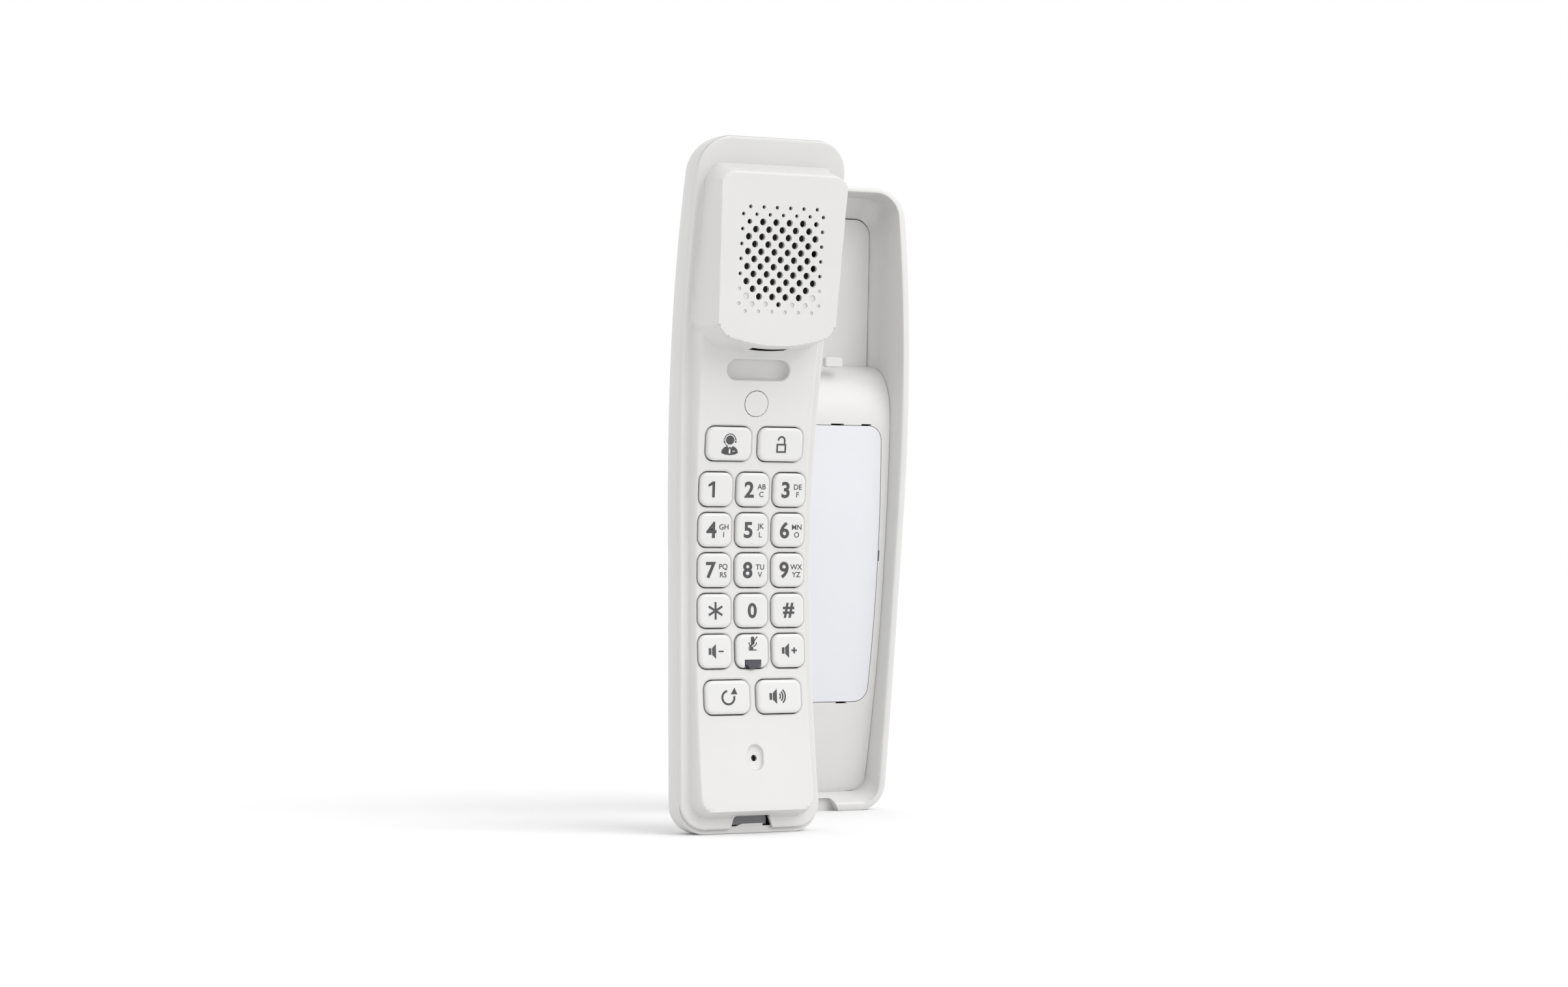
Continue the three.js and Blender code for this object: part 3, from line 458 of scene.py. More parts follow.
# ------------------------------------------------------------------ handset face shell
RAISED_INSET, RAISED_CORNER, RAISED_SLOPE = 2.75, 6, 3.2  # raised face inside the rim band
EDGE_ROUND = 0.7
EAR_HALF, EAR_SPREAD, EAR_SIDE_INSET = 19.6, 1.7, 2.5
EAR_FOOT, EAR_CORNER, EAR_TOP_SLOPE = 199.9, 6.2, 3.4
UNDER_Z, UNDER_BOW, UNDER_SLOPE = 144.4, 3.3, 7.0  # underside of the earpiece
UNDER_CORNER_AT, UNDER_CORNER_RISE = 15.5, 2.4
DISH_DEPTH, DISH_ACROSS, DISH_ALONG, DISH_UP = 0.55, 15, 17, 1.5  # dish round the sound holes
EAR_BLEND_Z = 138


def ear_dish(across, along):
    """Depth of the earpiece's dish, measured from the middle of the sound holes."""
    return DISH_DEPTH * math.exp(-((across / DISH_ACROSS) ** 2) - ((along - DISH_UP) / DISH_ALONG) ** 2)


def ear_shape(x, z):
    """Forward distance of the earpiece: its front, sides, top and underside."""
    rim = rim_forward(z)
    front = ear_front(z) - ear_dish(x, z - GRILLE_Z)
    front_half = EAR_HALF + EAR_SPREAD * (z - EAR_BOTTOM) / (EAR_TOP - EAR_BOTTOM)
    foot_half = half_width(z) - EAR_SIDE_INSET
    side = rim + (ear_front(z) - rim) * (foot_half - abs(x)) / (foot_half - front_half)
    corner = max(0, abs(x) - UNDER_CORNER_AT)
    under_line = UNDER_Z + UNDER_BOW * (x / 19) ** 2 + UNDER_CORNER_RISE * (corner / 4) ** 2
    under = face_forward(z) + UNDER_SLOPE * (z - under_line)
    aside = max(0, min(EAR_CORNER, abs(x) - foot_half + EAR_CORNER))
    top_line = EAR_FOOT - EAR_CORNER + math.sqrt(EAR_CORNER**2 - aside**2)
    over = rim + EAR_TOP_SLOPE * (top_line - z)
    return smin(smin(smin(front, side, 1.6), over, 1.6), under, 1.8)


def face_shape(x, z):
    """Forward distance of the handset's front surface."""
    rim, width = rim_forward(z), half_width(z)
    edge = inside(x, z, RIM_BOTTOM, RIM_TOP, CORNER_BOTTOM, CORNER_TOP, width)
    foot = inside(x, z, FACE_BOTTOM, EAR_FOOT, RAISED_CORNER, RAISED_CORNER, width - RAISED_INSET)
    raised = rim + smax(0, smin(face_forward(z) - rim, RAISED_SLOPE * foot, 1.6), 0.9)
    if z > EAR_BLEND_Z:
        # The fillet round the earpiece is wider at its sides and tight near its top.
        fillet = 1.2 + ease((175 - z) / 20) * (1.2 + 2.5 * ease((abs(x) - 12) / 8))
        raised = smax(raised, ear_shape(x, z), fillet)
    return raised - rounding(EDGE_ROUND, edge)


def face_shell():
    z_middle = spread([
        (0, 0.03, 0.0035), (0.03, 0.63, 0.006), (0.63, 0.66, 0.003), (0.66, 0.75, 0.0016),
        (0.75, 0.96, 0.006), (0.96, 1, 0.002),
    ])
    rows = corner_rows(RIM_BOTTOM, RIM_TOP, CORNER_BOTTOM, CORNER_TOP, z_middle, 14)
    cols = columns(30, 18, 0.7)
    front, back = [], []
    for z in rows:
        half = outline_half(z, RIM_BOTTOM, RIM_TOP, CORNER_BOTTOM, CORNER_TOP, half_width(z))
        line = [(u * half, face_shape(u * half, z)) for u in cols]
        front.append([handset_point(x, f, z) for x, f in line])
        back.append([handset_point(x, f - BAND_THICK, z) for x, f in line])
        edge_back = rim_forward(z) - BAND_THICK
        for k in (0, -1):
            back[-1][k] = handset_point(line[k][0], edge_back, z)
    return two_sheets("face_shell", front, back)


KEY_ROWS = [
    (117.3, True, ("operator", "door")),
    (103.6, False, ("1", "2", "3")),
    (91.4, False, ("4", "5", "6")),
    (79.3, False, ("7", "8", "9")),
    (67.1, False, ("star", "0", "hash")),
    (54.9, False, ("quieter", "mute", "louder")),
    (41.1, True, ("redial", "speaker")),
]
KEYS = []
for row_z, is_wide, names in KEY_ROWS:
    offsets = (-KEY_WIDE_OFFSET, KEY_WIDE_OFFSET) if is_wide else (-KEY_COLUMN, 0, KEY_COLUMN)
    for offset, name in zip(offsets, names):
        KEYS.append((name, offset, row_z, KEY_WIDE if is_wide else KEY_NARROW))

SKIN = 0.7  # backing pieces start this far inside the face's skin
CUT_OUT = 4  # cutters reach this far out of the surface
CUT_IN = 6
DIMPLE = 0.35
PLUG_NOTCH = [(-8, -1), (8, -1), (5.8, 5.4), (-5.8, 5.4)]
NOTCH_LIP = [(-6.9, 5.2), (6.9, 5.2), (6.2, 6.3), (-6.2, 6.3)]
HOOK_HALF, HOOK_BEHIND, HOOK_OPEN = 6, 7.5, 3.2
GRILLE_ROWS = 15
anchor_place, disc_place, mic_place = on_face(0, ANCHOR_Z), on_face(0, DISC_Z), on_face(0, MIC_Z)


def face_backing():
    """Material behind the recess, the disc and the microphone's dish, and the lip above the plug's notch."""
    around_anchor = rounded(ANCHOR_WIDTH + 2.4, ANCHOR_HEIGHT + 2.4, 4.2)
    return [
        prism("anchor_back", around_anchor, -ANCHOR_DEPTH - 1.2, -SKIN, anchor_place),
        peg("disc_back", DISC_RADIUS + 1.5, 0, 0, -2.4, -SKIN, disc_place, 32),
        prism("mic_back", rounded(7.6, 10.1, 3.7), -2.4, -SKIN, mic_place),
        prism("notch_lip", NOTCH_LIP, 2.7, 4.5, HANDSET_PLACE),
    ]


def face_wells():
    """Cutters for the key openings, the recess, the disc and the microphone's dish."""
    wells = []
    for name, x, z, width in KEYS:
        size = (width + 2 * KEY_CLEAR, KEY_HEIGHT + 2 * KEY_CLEAR, KEY_CORNER + KEY_CLEAR)
        wells.append(well(f"well_{name}", *size, 5, 0.5, on_face(x, z)))
    anchor = (ANCHOR_WIDTH, ANCHOR_HEIGHT, ANCHOR_HEIGHT / 2, ANCHOR_DEPTH)
    disc = (2 * DISC_RADIUS + 0.3, 2 * DISC_RADIUS + 0.3, DISC_RADIUS + 0.15, 1.2)
    wells.append(well("anchor_cut", *anchor, 0.5, anchor_place, 10, 1.4))
    wells.append(well("disc_cut", *disc, 0.2, disc_place, 10))
    wells.append(well("mic_dish", 5.2, 7.7, 2.6, 1.1, 0.4, mic_place, 10, 0.8))
    return wells


def grille_hole(row, col, count):
    """Cutter for one sound hole; small round the edge, and only a dimple near the bottom."""
    end = col in (0, count - 1)
    if row in (0, 1, 14) or (count == 7 and end):
        radius = 0.58
    elif (row == 2 and end) or row == 13:
        radius = 0.8
    else:
        radius = 1.05
    dimple = row == 14 or (row == 13 and col != 3) or (row in (11, 12) and end)
    x = (col - (count - 1) / 2) * GRILLE_PITCH
    along = (GRILLE_ROWS // 2 - row) * GRILLE_ROW
    floor_at = -ear_dish(x, along) - DIMPLE if dimple else -CUT_IN
    return peg(f"hole_{row}_{col}", radius, 0, 0, floor_at, CUT_OUT, on_ear(x, along), 16)


def grille_holes():
    """Rows of six and seven holes in turn."""
    return [grille_hole(row, col, 6 + row % 2) for row in range(GRILLE_ROWS) for col in range(6 + row % 2)]


def face_notches():
    """Cutters for the plug at the foot and for the cradle's hook under the earpiece."""
    hook_at = ear_front(EAR_BOTTOM) - HOOK_BEHIND
    low = (-HOOK_HALF, hook_at, EAR_BOTTOM - 4)
    high = (HOOK_HALF, hook_at + HOOK_OPEN, EAR_BOTTOM + 4)
    return [
        prism("plug_notch", PLUG_NOTCH, -10, 30, HANDSET_PLACE),
        block("hook_notch", low, high, HANDSET_PLACE),
    ]


shell = face_shell()
boolean(shell, face_backing(), operation="UNION")
mic_hole = peg("mic_hole", 1, 0, 0, -CUT_IN, CUT_OUT, mic_place, 24)
boolean(shell, face_wells() + grille_holes() + face_notches(), [mic_hole])
shade(shell.data, 32)
install(shell, "handset", "white_plastic", "handset_face_shell")

# ------------------------------------------------------------------ handset back shell
def outline_rows(outline, middle, steps):
    bottom, top, corner_bottom, corner_top, _ = outline
    return corner_rows(bottom, top, corner_bottom, corner_top, middle, steps)


def half_of(outline, z):
    bottom, top, corner_bottom, corner_top, inset = outline
    return outline_half(z, bottom, top, corner_bottom, corner_top, half_width(z) - inset(z))


def tub_sheet(cols, middle, steps, floor_outline, floor_at, rings, place):
    """Curved floor, and walls through rings. An outline is bottom, top, two corner radii, inset(z)."""
    all_rings = [(floor_outline, floor_at)] + rings
    heights = [outline_rows(outline, middle, steps) for outline, _ in all_rings]
    last_row, last_col = len(heights[0]) - 1, len(cols) - 1
    depth = len(rings)
    sheet = []
    for r in range(-depth, last_row + depth + 1):
        line = []
        for c in range(-depth, last_col + depth + 1):
            level = max(0, -r, r - last_row, -c, c - last_col)
            outline, forward_at = all_rings[level]
            z = heights[level][min(max(r, 0), last_row)]
            x = cols[min(max(c, 0), last_col)] * half_of(outline, z)
            line.append(place(x, forward_at(x, z), z))
        sheet.append(line)
    return sheet


TONGUE = [(-7, 0.8), (4.4, 0.8), (4.4, 2.9), (-2.4, 2.9), (-7, 1.4)]
SHELL_WALL, SHELL_INNER_ROUND = 2.0, 5.5
SEAM_CHAMFER, SEAM_INSET = 0.3, 0.15


def back_side(inset, depth, turn):
    """One skin of the back shell: curved back with rounded edges, and walls up to the seam."""

    def outline(more):
        edge = inset + more
        return edge, HANDSET_TOP - edge, CORNER_BOTTOM - edge, CORNER_TOP - edge, lambda z: edge

    def floor_at(x, z):
        return rim_forward(z) - depth + rounding(turn, inside(x, z, *outline(0)[:4], half_width(z) - inset))

    def seam(x, z):
        return rim_forward(z) - BAND_THICK - GAP

    def chamfer(x, z):
        return seam(x, z) - SEAM_CHAMFER

    rings = [(outline(0), chamfer), (outline(SEAM_INSET), seam)]
    cols, middle = columns(16, 8, 0.62), spread([(0, 1, 0.03)])
    return tub_sheet(cols, middle, 12, outline(0), floor_at, rings, handset_point)


def handset_back():
    outer = back_side(0, SHELL_DEPTH, SHELL_ROUND)
    inner = back_side(SHELL_WALL, SHELL_DEPTH - SHELL_WALL, SHELL_INNER_ROUND)
    shell = two_sheets("back_shell", outer, inner)
    boolean(shell, [block("plug_way", (-5, -6, -1), (5, 1.1, 3.2), HANDSET_PLACE)])
    boolean(shell, [prism("tongue", TONGUE, 1.9, 2.25, HANDSET_PLACE)], operation="UNION")
    shade(shell.data, 40)
    return shell


install(handset_back(), "handset", "white_plastic", "handset_back_shell")

# ------------------------------------------------------------------ keys
def key_cap(name, width, place):
    rings = [ring(rounded(width, KEY_HEIGHT, KEY_CORNER, 8), -2.7)]
    for k in range(7):
        t = math.pi / 2 * k / 6
        inset = 0.5 * k / 6 + 0.5 * (1 - math.cos(t))
        out = rounded(width - 2 * inset, KEY_HEIGHT - 2 * inset, KEY_CORNER - inset, 8)
        rings.append(ring(out, KEY_PROUD - 0.02 - 0.5 * (1 - math.sin(t))))
    out = rounded(width - 2.8, KEY_HEIGHT - 2.8, KEY_CORNER - 1.3, 8)
    rings.append(ring(out, KEY_PROUD - 0.01))
    return stack(f"cap_{name}", rings, place, 50)


def plate(name, loops, place, look, size=1.0, at=(0, 0), thick=0.05, forward=KEY_PROUD):
    """Thin raised print from closed loops of [across, up] points; loops inside loops are holes."""
    curve = bpy.data.curves.new(name, "CURVE")
    curve.dimensions, curve.fill_mode = "2D", "BOTH"
    curve.extrude = thick * MM
    for loop in loops:
        spline = curve.splines.new("POLY")
        spline.points.add(len(loop) - 1)
        for point, (x, y) in zip(spline.points, loop):
            point.co = ((at[0] + x * size) * MM, (at[1] + y * size) * MM, 0, 1)
        spline.use_cyclic_u = True
    return set_plate(name, curve, place, look, forward)


def set_plate(name, curve, place, look, forward):
    obj = bpy.data.objects.new(name, curve)
    bpy.context.scene.collection.objects.link(obj)
    graph = bpy.context.evaluated_depsgraph_get()
    mesh = bpy.data.meshes.new_from_object(obj.evaluated_get(graph))
    bpy.data.objects.remove(obj)
    local = Matrix.Translation((0, -forward * MM, 0)) @ Matrix.Rotation(math.pi / 2, 4, "X")
    scaled = place.copy()
    scaled.translation = place.translation * MM
    mesh.transform(scaled @ local)
    made = bpy.data.objects.new(name, mesh)
    bpy.context.scene.collection.objects.link(made)
    mesh.materials.clear()
    mesh.materials.append(look)
    return made


def lettering(name, text, place, height, at, weight=0.0, stretch=1.0, turned=False, forward=KEY_PROUD):
    curve = bpy.data.curves.new(name, "FONT")
    curve.body = text
    curve.size = height * MM / 0.73
    curve.offset = weight * MM
    curve.extrude = 0.05 * MM
    curve.align_x, curve.align_y = "CENTER", "CENTER"
    made = set_plate(name, curve, Matrix.Identity(4), INK, 0)
    low = [min(v.co[i] for v in made.data.vertices) for i in range(3)]
    high = [max(v.co[i] for v in made.data.vertices) for i in range(3)]
    centre = Vector(((low[0] + high[0]) / 2, 0, (low[2] + high[2]) / 2))
    scaled = place.copy()
    scaled.translation = place.translation * MM
    shift = Matrix.Translation((at[0] * MM, -forward * MM, at[1] * MM))
    turn = Matrix.Rotation(math.pi if turned else 0, 4, "Y") @ Matrix.Diagonal((stretch, 1, 1, 1))
    made.data.transform(scaled @ shift @ turn @ Matrix.Translation(-centre))
    return made


def arc(cx, cz, radius, start, end, count=16):
    return [
        (cx + radius * math.cos(math.radians(start + (end - start) * i / count)),
         cz + radius * math.sin(math.radians(start + (end - start) * i / count)))
        for i in range(count + 1)
    ]


def band(cx, cz, radius, width, start, end, count=16):
    """Closed loop round a circular stroke."""
    outer = arc(cx, cz, radius + width / 2, start, end, count)
    return outer + arc(cx, cz, radius - width / 2, end, start, count)


def bar(x0, z0, x1, z1, width):
    dx, dz = x1 - x0, z1 - z0
    length = math.hypot(dx, dz)
    nx, nz = -dz / length * width / 2, dx / length * width / 2
    return [(x0 + nx, z0 + nz), (x0 - nx, z0 - nz), (x1 - nx, z1 - nz), (x1 + nx, z1 + nz)]


def box_loop(x0, z0, x1, z1):
    return [(x0, z0), (x1, z0), (x1, z1), (x0, z1)]


SPEAKER = [[(-1.9, -0.75), (-1.25, -0.75), (-1.25, 0.75), (-1.9, 0.75)],
           [(-1.05, -0.75), (-0.05, -1.7), (-0.05, 1.7), (-1.05, 0.75)]]


def operator_icon():
    """Head and shoulders with a tie, a badge and a headset."""
    right = [(0.35, -1.2), (0.9, -0.75), (1.7, -1.2), (2.2, -1.8), (2.3, -2.5), (1.4, -2.9)]
    left = [(-x, z) for x, z in right[::-1]]
    shoulders = left + [(0, -0.9)] + right + [(0, -3.05)]
    tie = [(-0.22, -1.5), (0, -1.35), (0.22, -1.5), (0.3, -2.4), (0, -2.8), (-0.3, -2.4)]
    head = arc(0, 0.75, 1.15, 0, 360, 24)[:-1]
    headband = band(0, 0.75, 1.55, 0.22, -10, 190, 20)
    ears = [box_loop(-1.75, 0.1, -1.35, 1.1), box_loop(1.35, 0.1, 1.75, 1.1)]
    boom = band(0, 0.75, 1.6, 0.16, 205, 250, 8)
    return [head, shoulders, tie, box_loop(0.8, -2.15, 1.5, -1.9), headband, *ears, boom]


def door_icon():
    """Open padlock."""
    body = [box_loop(-1.5, -2.3, 1.5, 0.2), box_loop(-1.02, -1.82, 1.02, -0.28)]
    return body + [band(0, 1.15, 0.95, 0.5, 0, 185, 16), box_loop(0.7, 0.25, 1.2, 1.15)]


def star_icon():
    """Six arms from one outline."""
    loop = []
    for degrees in range(30, 390, 60):
        t = math.radians(degrees)
        tip = Vector((2.1 * math.cos(t), 2.1 * math.sin(t)))
        side = Vector((-tip.y, tip.x)).normalized() * 0.26
        inner = math.radians(degrees + 30)
        loop += [tuple(tip - side), tuple(tip + side), (0.52 * math.cos(inner), 0.52 * math.sin(inner))]
    return [loop]


def quieter_icon():
    return SPEAKER + [box_loop(0.65, -0.17, 1.95, 0.17)]


def louder_icon():
    plus = [(0.6, -0.2), (1.1, -0.2), (1.1, -0.7), (1.5, -0.7), (1.5, -0.2), (2.0, -0.2)]
    plus += [(x, -z) for x, z in plus[::-1]]
    return SPEAKER + [plus]


def mute_icon():
    """Microphone with a stroke through it."""
    stand = [box_loop(-0.12, -0.4, 0.12, 0.15), box_loop(-0.95, -0.66, 0.95, -0.42)]
    cradle_arc = band(0, 1.2, 0.95, 0.24, 180, 360, 12)
    return [rounded(0.9, 1.9, 0.44, 5, 0, 1.55), cradle_arc, *stand, bar(-1.1, -0.3, 1.2, 2.5, 0.24)]


def redial_icon():
    return [band(0, -0.1, 1.75, 0.55, 100, 372, 28), [(0.75, 0.75), (2.65, 0.75), (1.85, 2.5)]]


def speaker_icon():
    waves = [band(-0.6, 0, radius, 0.34, -48, 48, 12) for radius in (0.75, 1.35, 1.95)]
    return [[(x - 0.7, z) for x, z in loop] for loop in SPEAKER] + waves


ICONS = {
    "operator": operator_icon, "door": door_icon, "star": star_icon, "quieter": quieter_icon,
    "mute": mute_icon, "louder": louder_icon, "redial": redial_icon, "speaker": speaker_icon,
}
ICON_PLACE = {
    "operator": (1.2, 0.3), "door": (1.1, 0.1), "mute": (1.35, 1.0), "star": (1.25, 0), "quieter": (1.3, 0),
    "louder": (1.3, 0), "redial": (1.15, 0), "speaker": (1.35, 0),
}
LETTERS = {"2": ("AB", "C"), "3": ("DE", "F"), "4": ("GH", "I"), "5": ("JK", "L"),
           "6": ("MN", "O"), "7": ("PQ", "RS"), "8": ("TU", "V"), "9": ("WX", "YZ")}

DIGIT_AT, DIGIT_TALL = (-1.55, 0.05), 4.8
ALONE_TALL = 4.4  # nought and hash stand alone in the middle
LETTERS_AT, LETTERS_TALL, DIGIT_WEIGHT, LETTERS_WEIGHT = ((2.6, 0.95), (2.6, -1.35)), 1.66, 0.17, 0.02
ONE = [(-1.6, -2.4), (-0.75, -2.4), (-0.75, 2.4), (-1.5, 2.4), (-2.9, 1.5), (-2.9, 0.75), (-1.6, 1.35)]
LENS_HALF, LENS_TOP, LENS_SHOULDER = 2.55, -2.75, -4.1


def legends(name, place):
    """Everything printed on one key."""
    if name == "1":
        return [plate("digit_1", [ONE], place, INK)]
    if name in ("0", "hash"):
        text = "#" if name == "hash" else name
        return [lettering(f"digit_{name}", text, place, ALONE_TALL, (0, 0), DIGIT_WEIGHT)]
    if name in ICONS:
        size, lift = ICON_PLACE[name]
        return [plate(f"print_{name}", ICONS[name](), place, INK, size, (0, lift))]
    # The nine is a six turned over.
    text, turned = ("6", True) if name == "9" else (name, False)
    made = [lettering(f"digit_{name}", text, place, DIGIT_TALL, DIGIT_AT, DIGIT_WEIGHT, 1.0, turned)]
    for k, letters in enumerate(LETTERS[name]):
        place_name = f"letters_{name}_{k}"
        made.append(lettering(place_name, letters, place, LETTERS_TALL, LETTERS_AT[k], LETTERS_WEIGHT))
    return made


def nib(place):
    """Small raised mark under the five."""
    rings = [ring(rounded(1.6 - 2 * k, 0.5 - k, 0.25, 4, 0, -3.7), KEY_PROUD - 0.1 + k) for k in (0, 0.2)]
    return stack("nib", rings, place)


def lens(place):
    """Smoked light with a rounded foot."""
    foot = arc(0, -3.3, 2.1, 205, 335, 10)
    left = [(-LENS_HALF, LENS_TOP), (-LENS_HALF, LENS_SHOULDER)]
    right = [(LENS_HALF, LENS_SHOULDER), (LENS_HALF, LENS_TOP)]
    return prism("lens", left + foot + right, -0.85, KEY_PROUD - 0.1, place)


for name, x, z, width in KEYS:
    place = on_face(x, z)
    cap = key_cap(name, width, place)
    body = f"key_{name}"
    if name == "mute":
        boolean(cap, [block("lens_cut", (-2.8, -1.2, -6.2), (2.8, 3, -2.6), place)])
        shade(cap.data, 35)
    install(cap, body, "key_plastic", body)
    for item in legends(name, place):
        install(item, body, "key_plastic", look=INK)
    if name == "5":
        install(nib(place), body, "key_plastic")
    if name == "mute":
        install(lens(place), body, "lens_plastic", "mute_light_lens")

# ------------------------------------------------------------------ cradle tray
SHOULDER_LOW, SHOULDER_TOP, SHOULDER_POWER = 122, 146.2, 2.4
POCKET_TURN, TOP_TURN = 4.5, 5.4  # round between the pocket's floor and its sides, and its top
FOOT_DRAFT, FOOT_DRAFT_END = 0.74, 5.2  # the tray's lower wall slopes this much, down to this depth
CRADLE_BACK_ROUND = 2.5
TRAY_DEPTHS = [20, 18.5, 17, 15.5, 13.5, 10, 7, 5, 3.2, 1.5, 0.4]  # rings of the inner wall, below the rim
BAY_HALF, BAY_TOP, BAY_DEPTH = 16.5, 26, 6
ARCH = [(-7, -1), (7, -1), (6.9, 0), (4.9, 3.9), (4.1, 4.3), (-4.1, 4.3), (-4.9, 3.9), (-6.9, 0)]
SCREWS_X, SCREWS_Z = (-15, 15), (58, 187)
BORE_RADIUS, BORE_DEPTH, PILOT_RADIUS = 3.3, 1.4, 1.9
KEYHOLES_Z, KEYHOLE_RADIUS, KEYHOLE_SLOT, KEYHOLE_RISE = (50, 160), 4.25, 2.3, 8


def seat_line(up, forward_of, extra):
    """Forward distance in the cradle, at a height, of a handset curve when hung up."""
    z = up
    for _ in range(5):
        z += up - seated(forward_of(z) + extra, z)[1]
    return seated(forward_of(z) + extra, z)[0]


def tray_rim(up):
    return seat_line(up, rim_forward, RIM_MEET)


def panel_face(up):
    """Front of the panel: face, rounded shoulder, pocket floor."""
    face = seat_line(min(up, SHOULDER_TOP), face_forward, SEAT_CLEAR)
    if up <= SHOULDER_LOW:
        return face
    if up >= SHOULDER_TOP:
        return POCKET_FLOOR
    t = (up - SHOULDER_LOW) / (SHOULDER_TOP - SHOULDER_LOW)
    return POCKET_FLOOR + (face - POCKET_FLOOR) * math.sqrt(1 - t**SHOULDER_POWER)


def wall_inset(up, depth):
    """How far inside the outline the tray's inner wall stands, at a depth below the rim."""
    draft = 0.33 - 0.25 * ease((up - 122) / 26)
    inset = CRADLE_WALL + draft * min(depth, 5) + 0.07 * max(0, depth - 5)
    turn = (POCKET_FLOOR + POCKET_TURN - (tray_rim(up) - depth)) / POCKET_TURN
    return inset + 1.6 * ease((up - 130) / 16) * max(0, min(1, turn)) ** 2


def tray_ring(depth):
    """Outline of the inner wall at a depth below the rim, and its forward distance."""
    low = CRADLE_WALL + FOOT_DRAFT * min(depth, FOOT_DRAFT_END)
    top = CRADLE_TOP - CRADLE_TOP_WALL - 0.07 * depth
    turn = (POCKET_FLOOR + TOP_TURN - (tray_rim(196) - depth)) / TOP_TURN
    top -= 6.2 * max(0, min(1, turn)) ** 1.3
    outline = (low, top, CORNER_BOTTOM - 3.4, CORNER_TOP - 4.8, lambda z: wall_inset(z, depth))
    return outline, lambda x, z: max(tray_rim(z) - depth, CRADLE_BACK + 3 - 0.04 * depth)


def cradle_tray():
    cols = columns(10, 7, 0.62)
    middle = spread([(0, 0.55, 0.03), (0.55, 0.78, 0.015), (0.78, 1, 0.03)])
    outline = (0, CRADLE_TOP, CORNER_BOTTOM, CORNER_TOP, lambda z: 0)

    def back_at(x, z):
        return CRADLE_BACK + rounding(CRADLE_BACK_ROUND, inside(x, z, *outline[:4], half_width(z)))

    def lip(inset, drop):
        corners = (CORNER_BOTTOM - inset, CORNER_TOP - inset)
        ring_outline = (inset, CRADLE_TOP - inset * 0.7, *corners, lambda z: inset)
        return ring_outline, lambda x, z: tray_rim(z) - drop

    def outer_wall(share):
        return outline, lambda x, z: back_at(x, z) * (1 - share) + (tray_rim(z) - 0.5) * share

    inner_rings = [tray_ring(depth) for depth in TRAY_DEPTHS]
    inner_rings += [lip(CRADLE_WALL - 0.12, 0.1), lip(CRADLE_WALL - 0.4, 0)]
    outer_rings = [outer_wall((k + 1) / len(TRAY_DEPTHS)) for k in range(len(TRAY_DEPTHS))]
    outer_rings += [lip(0.1, 0.15), lip(0.45, 0)]
    deepest = tray_ring(22)[0]
    outer = tub_sheet(cols, middle, 10, outline, back_at, outer_rings, cradle_point)
    inner = tub_sheet(cols, middle, 10, deepest, lambda x, z: CRADLE_BACK + 2, inner_rings, cradle_point)
    return two_sheets("tray", outer, inner, 40)


def tray_openings():
    """Cutters for the plugs' bay and the arch that lets the cord out under the handset."""
    arch_front = seated(rim_forward(RIM_BOTTOM), RIM_BOTTOM)[0]
    low = (-BAY_HALF, CRADLE_BACK - 1, -1)
    high = (BAY_HALF, CRADLE_BACK + BAY_DEPTH, BAY_TOP)
    return [
        block("bay", low, high, CRADLE_PLACE),
        prism("arch", ARCH, arch_front - 4.3, 20, CRADLE_PLACE),
    ]


def back_peg(name, radius, x, z, depth, sides):
    return peg(name, radius, x, z, CRADLE_BACK - 1, CRADLE_BACK + depth, CRADLE_PLACE, sides)


def back_bores():
    """Cutters for the screws' counterbores and the keyholes' round ends, and for what lies inside them."""
    wide, narrow = [], []
    for z in SCREWS_Z:
        for x in SCREWS_X:
            wide.append(back_peg("bore", BORE_RADIUS, x, z, BORE_DEPTH, 28))
            narrow.append(back_peg("pilot", PILOT_RADIUS, x, z, 4, 16))
    for z in KEYHOLES_Z:
        wide.append(back_peg("keyhole", KEYHOLE_RADIUS, 0, z, 3, 28))
        points = [(-KEYHOLE_SLOT, z), (KEYHOLE_SLOT, z)] + arc(0, z + KEYHOLE_RISE, KEYHOLE_SLOT, 0, 180, 12)
        narrow.append(prism("slot", points, CRADLE_BACK - 1, CRADLE_BACK + 3, CRADLE_PLACE))
    return wide, narrow


tray = cradle_tray()
boolean(tray, tray_openings(), *back_bores())
shade(tray.data, 40)
install(tray, "cradle", "white_plastic", "cradle_tray")

# ------------------------------------------------------------------ cradle panel, card cover
PANEL_SEAM, PANEL_THICK = 0.16, 2.0
CARD_GAP, CARD_DEPTH = 0.22, 1.3  # seam round the cover, and depth of its recess
CLIP_GAP = 0.62
LUG_WIDTH, LUG_HEIGHT, LUG_BEHIND = 6.4, 3.2, 6


def sheet_solid(name, heights, half_at, front_at, thick, cols, angle=35):
    front, back = [], []
    for z in heights:
        half = half_at(z)
        front.append([cradle_point(u * half, front_at(u * half, z), z) for u in cols])
        back.append([cradle_point(u * half, front_at(u * half, z) - thick, z) for u in cols])
    return two_sheets(name, front, back, angle)


def cradle_panel():
    low = CRADLE_WALL + FOOT_DRAFT * FOOT_DRAFT_END + PANEL_SEAM
    corners = (low, PANEL_TOP, 4.2, 5.5)

    def half_at(z):
        inset = wall_inset(z, tray_rim(z) - panel_face(z)) + PANEL_SEAM
        return outline_half(z, *corners, half_width(z) - inset)

    shares = spread([(0, 0.6, 0.012), (0.6, 0.78, 0.005), (0.78, 1, 0.012)])
    heights = corner_rows(*corners, shares, 10)
    return sheet_solid("panel", heights, half_at, lambda x, z: panel_face(z), PANEL_THICK, columns(8, 8, 0.8))


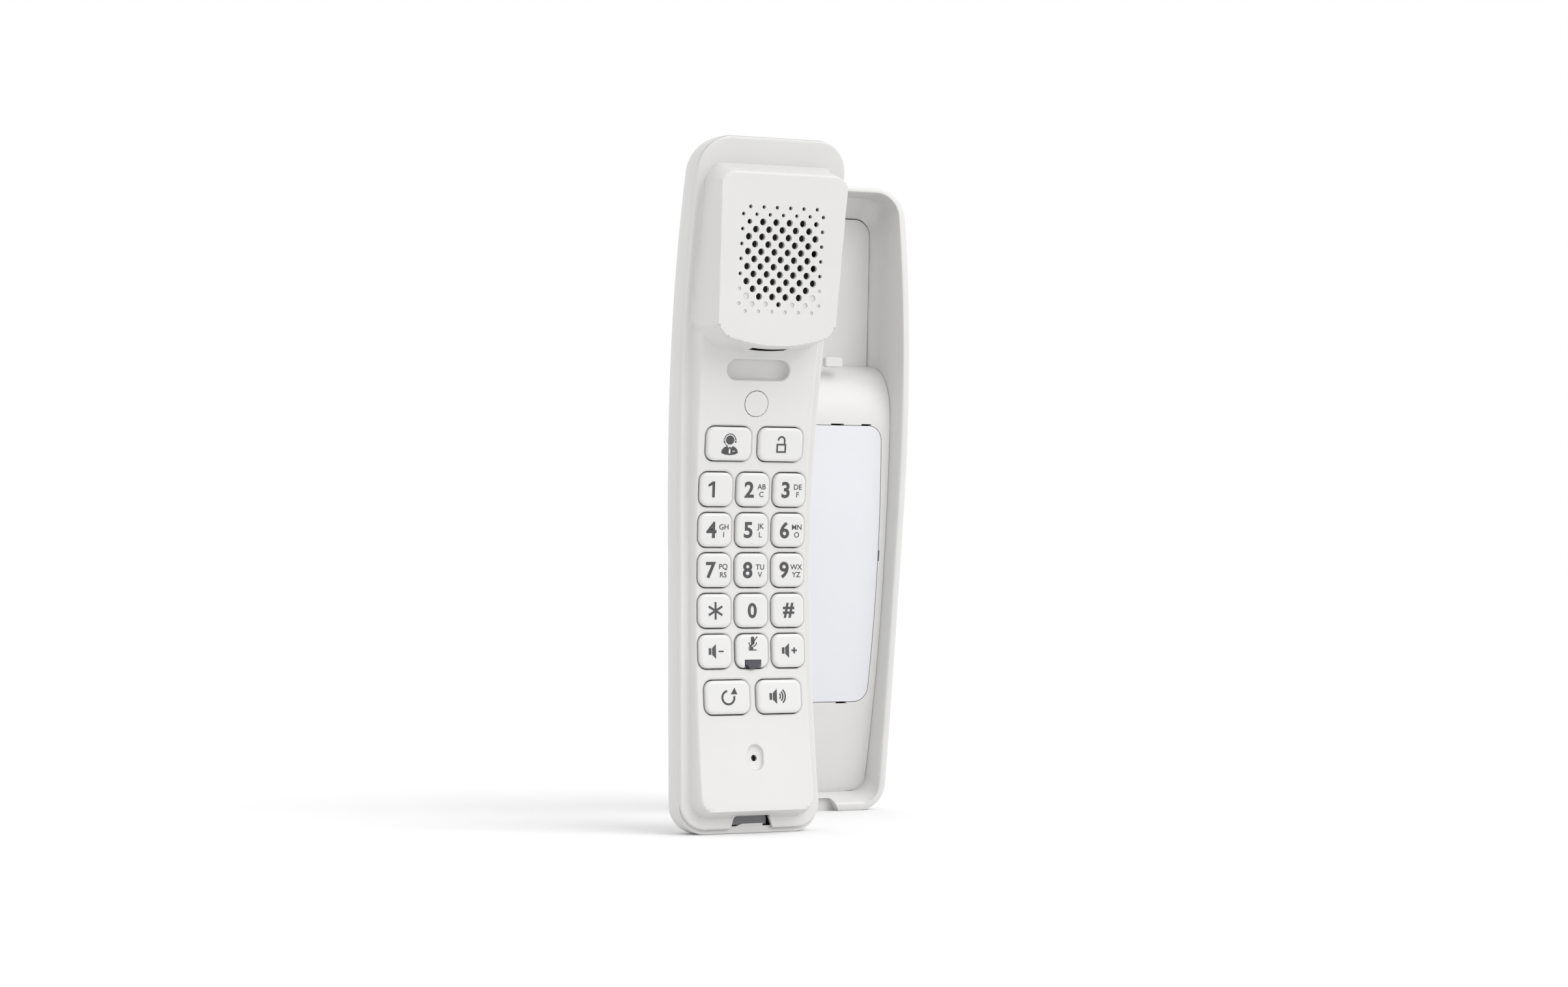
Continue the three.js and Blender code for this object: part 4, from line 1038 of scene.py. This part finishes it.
def card_outline(grow):
    """Row heights and half width of the card's outline, grown by a margin."""
    corners = (CARD_LOW - grow, CARD_HIGH + grow, CARD_CORNER + grow, CARD_CORNER + grow)
    rows = corner_rows(*corners, spread([(0, 1, 0.03)]), 8)
    return rows, lambda z: outline_half(z, *corners, CARD_HALF + grow)


def card_face(x, z):
    return seat_line(z, face_forward, SEAT_CLEAR)


def card_recess():
    reach = 4
    heights, half_at = card_outline(CARD_GAP)
    cols = columns(4, 4, 0.8)
    thick = reach + CARD_DEPTH
    return sheet_solid("card_cut", heights, half_at, lambda x, z: card_face(x, z) + reach, thick, cols)


def clip_gaps():
    """Small dark gaps at the cover's edges, where its clips are."""
    top, foot, side = CARD_HIGH + CLIP_GAP, CARD_LOW - CLIP_GAP, CARD_HALF + CLIP_GAP
    spans = [(-2.6, 2.2, CARD_HIGH, top), (8.6, 12.2, CARD_HIGH, top)]
    spans += [(CARD_HALF, side, 82, 85.5), (-side, -CARD_HALF, 82, 85.5)]
    spans += [(4.6, 8.6, foot, CARD_LOW), (-8.6, -4.6, foot, CARD_LOW)]
    return [block("clip", (x0, -25, z0), (x1, 10, z1), CRADLE_PLACE) for x0, x1, z0, z1 in spans]


def hook_lug():
    """Lug on the ledge that the earpiece's notch drops over."""
    forward, up = seated(ear_front(EAR_BOTTOM) - LUG_BEHIND, LEDGE_Z)
    rings = []
    for inset, radius, ahead in ((0, 0.8, -1), (0, 0.8, 0.5), (0.3, 0.6, 0.8)):
        out = rounded(LUG_WIDTH - 2 * inset, LUG_HEIGHT - 2 * inset, radius, 4, 0, up + 0.1)
        rings.append(ring(out, forward + ahead))
    return stack("lug", rings, CRADLE_PLACE)


def card_cover():
    heights, half_at = card_outline(0)
    cols = columns(5, 5, 0.8)
    return sheet_solid("window", heights, half_at, lambda x, z: card_face(x, z) - 0.05, 0.6, cols)


panel = cradle_panel()
boolean(panel, [card_recess()])
boolean(panel, clip_gaps())
boolean(panel, [hook_lug()], operation="UNION")
shade(panel.data, 35)
install(panel, "cradle", "white_plastic", "cradle_panel")
install(card_cover(), "cradle", "window_plastic", "card_cover")
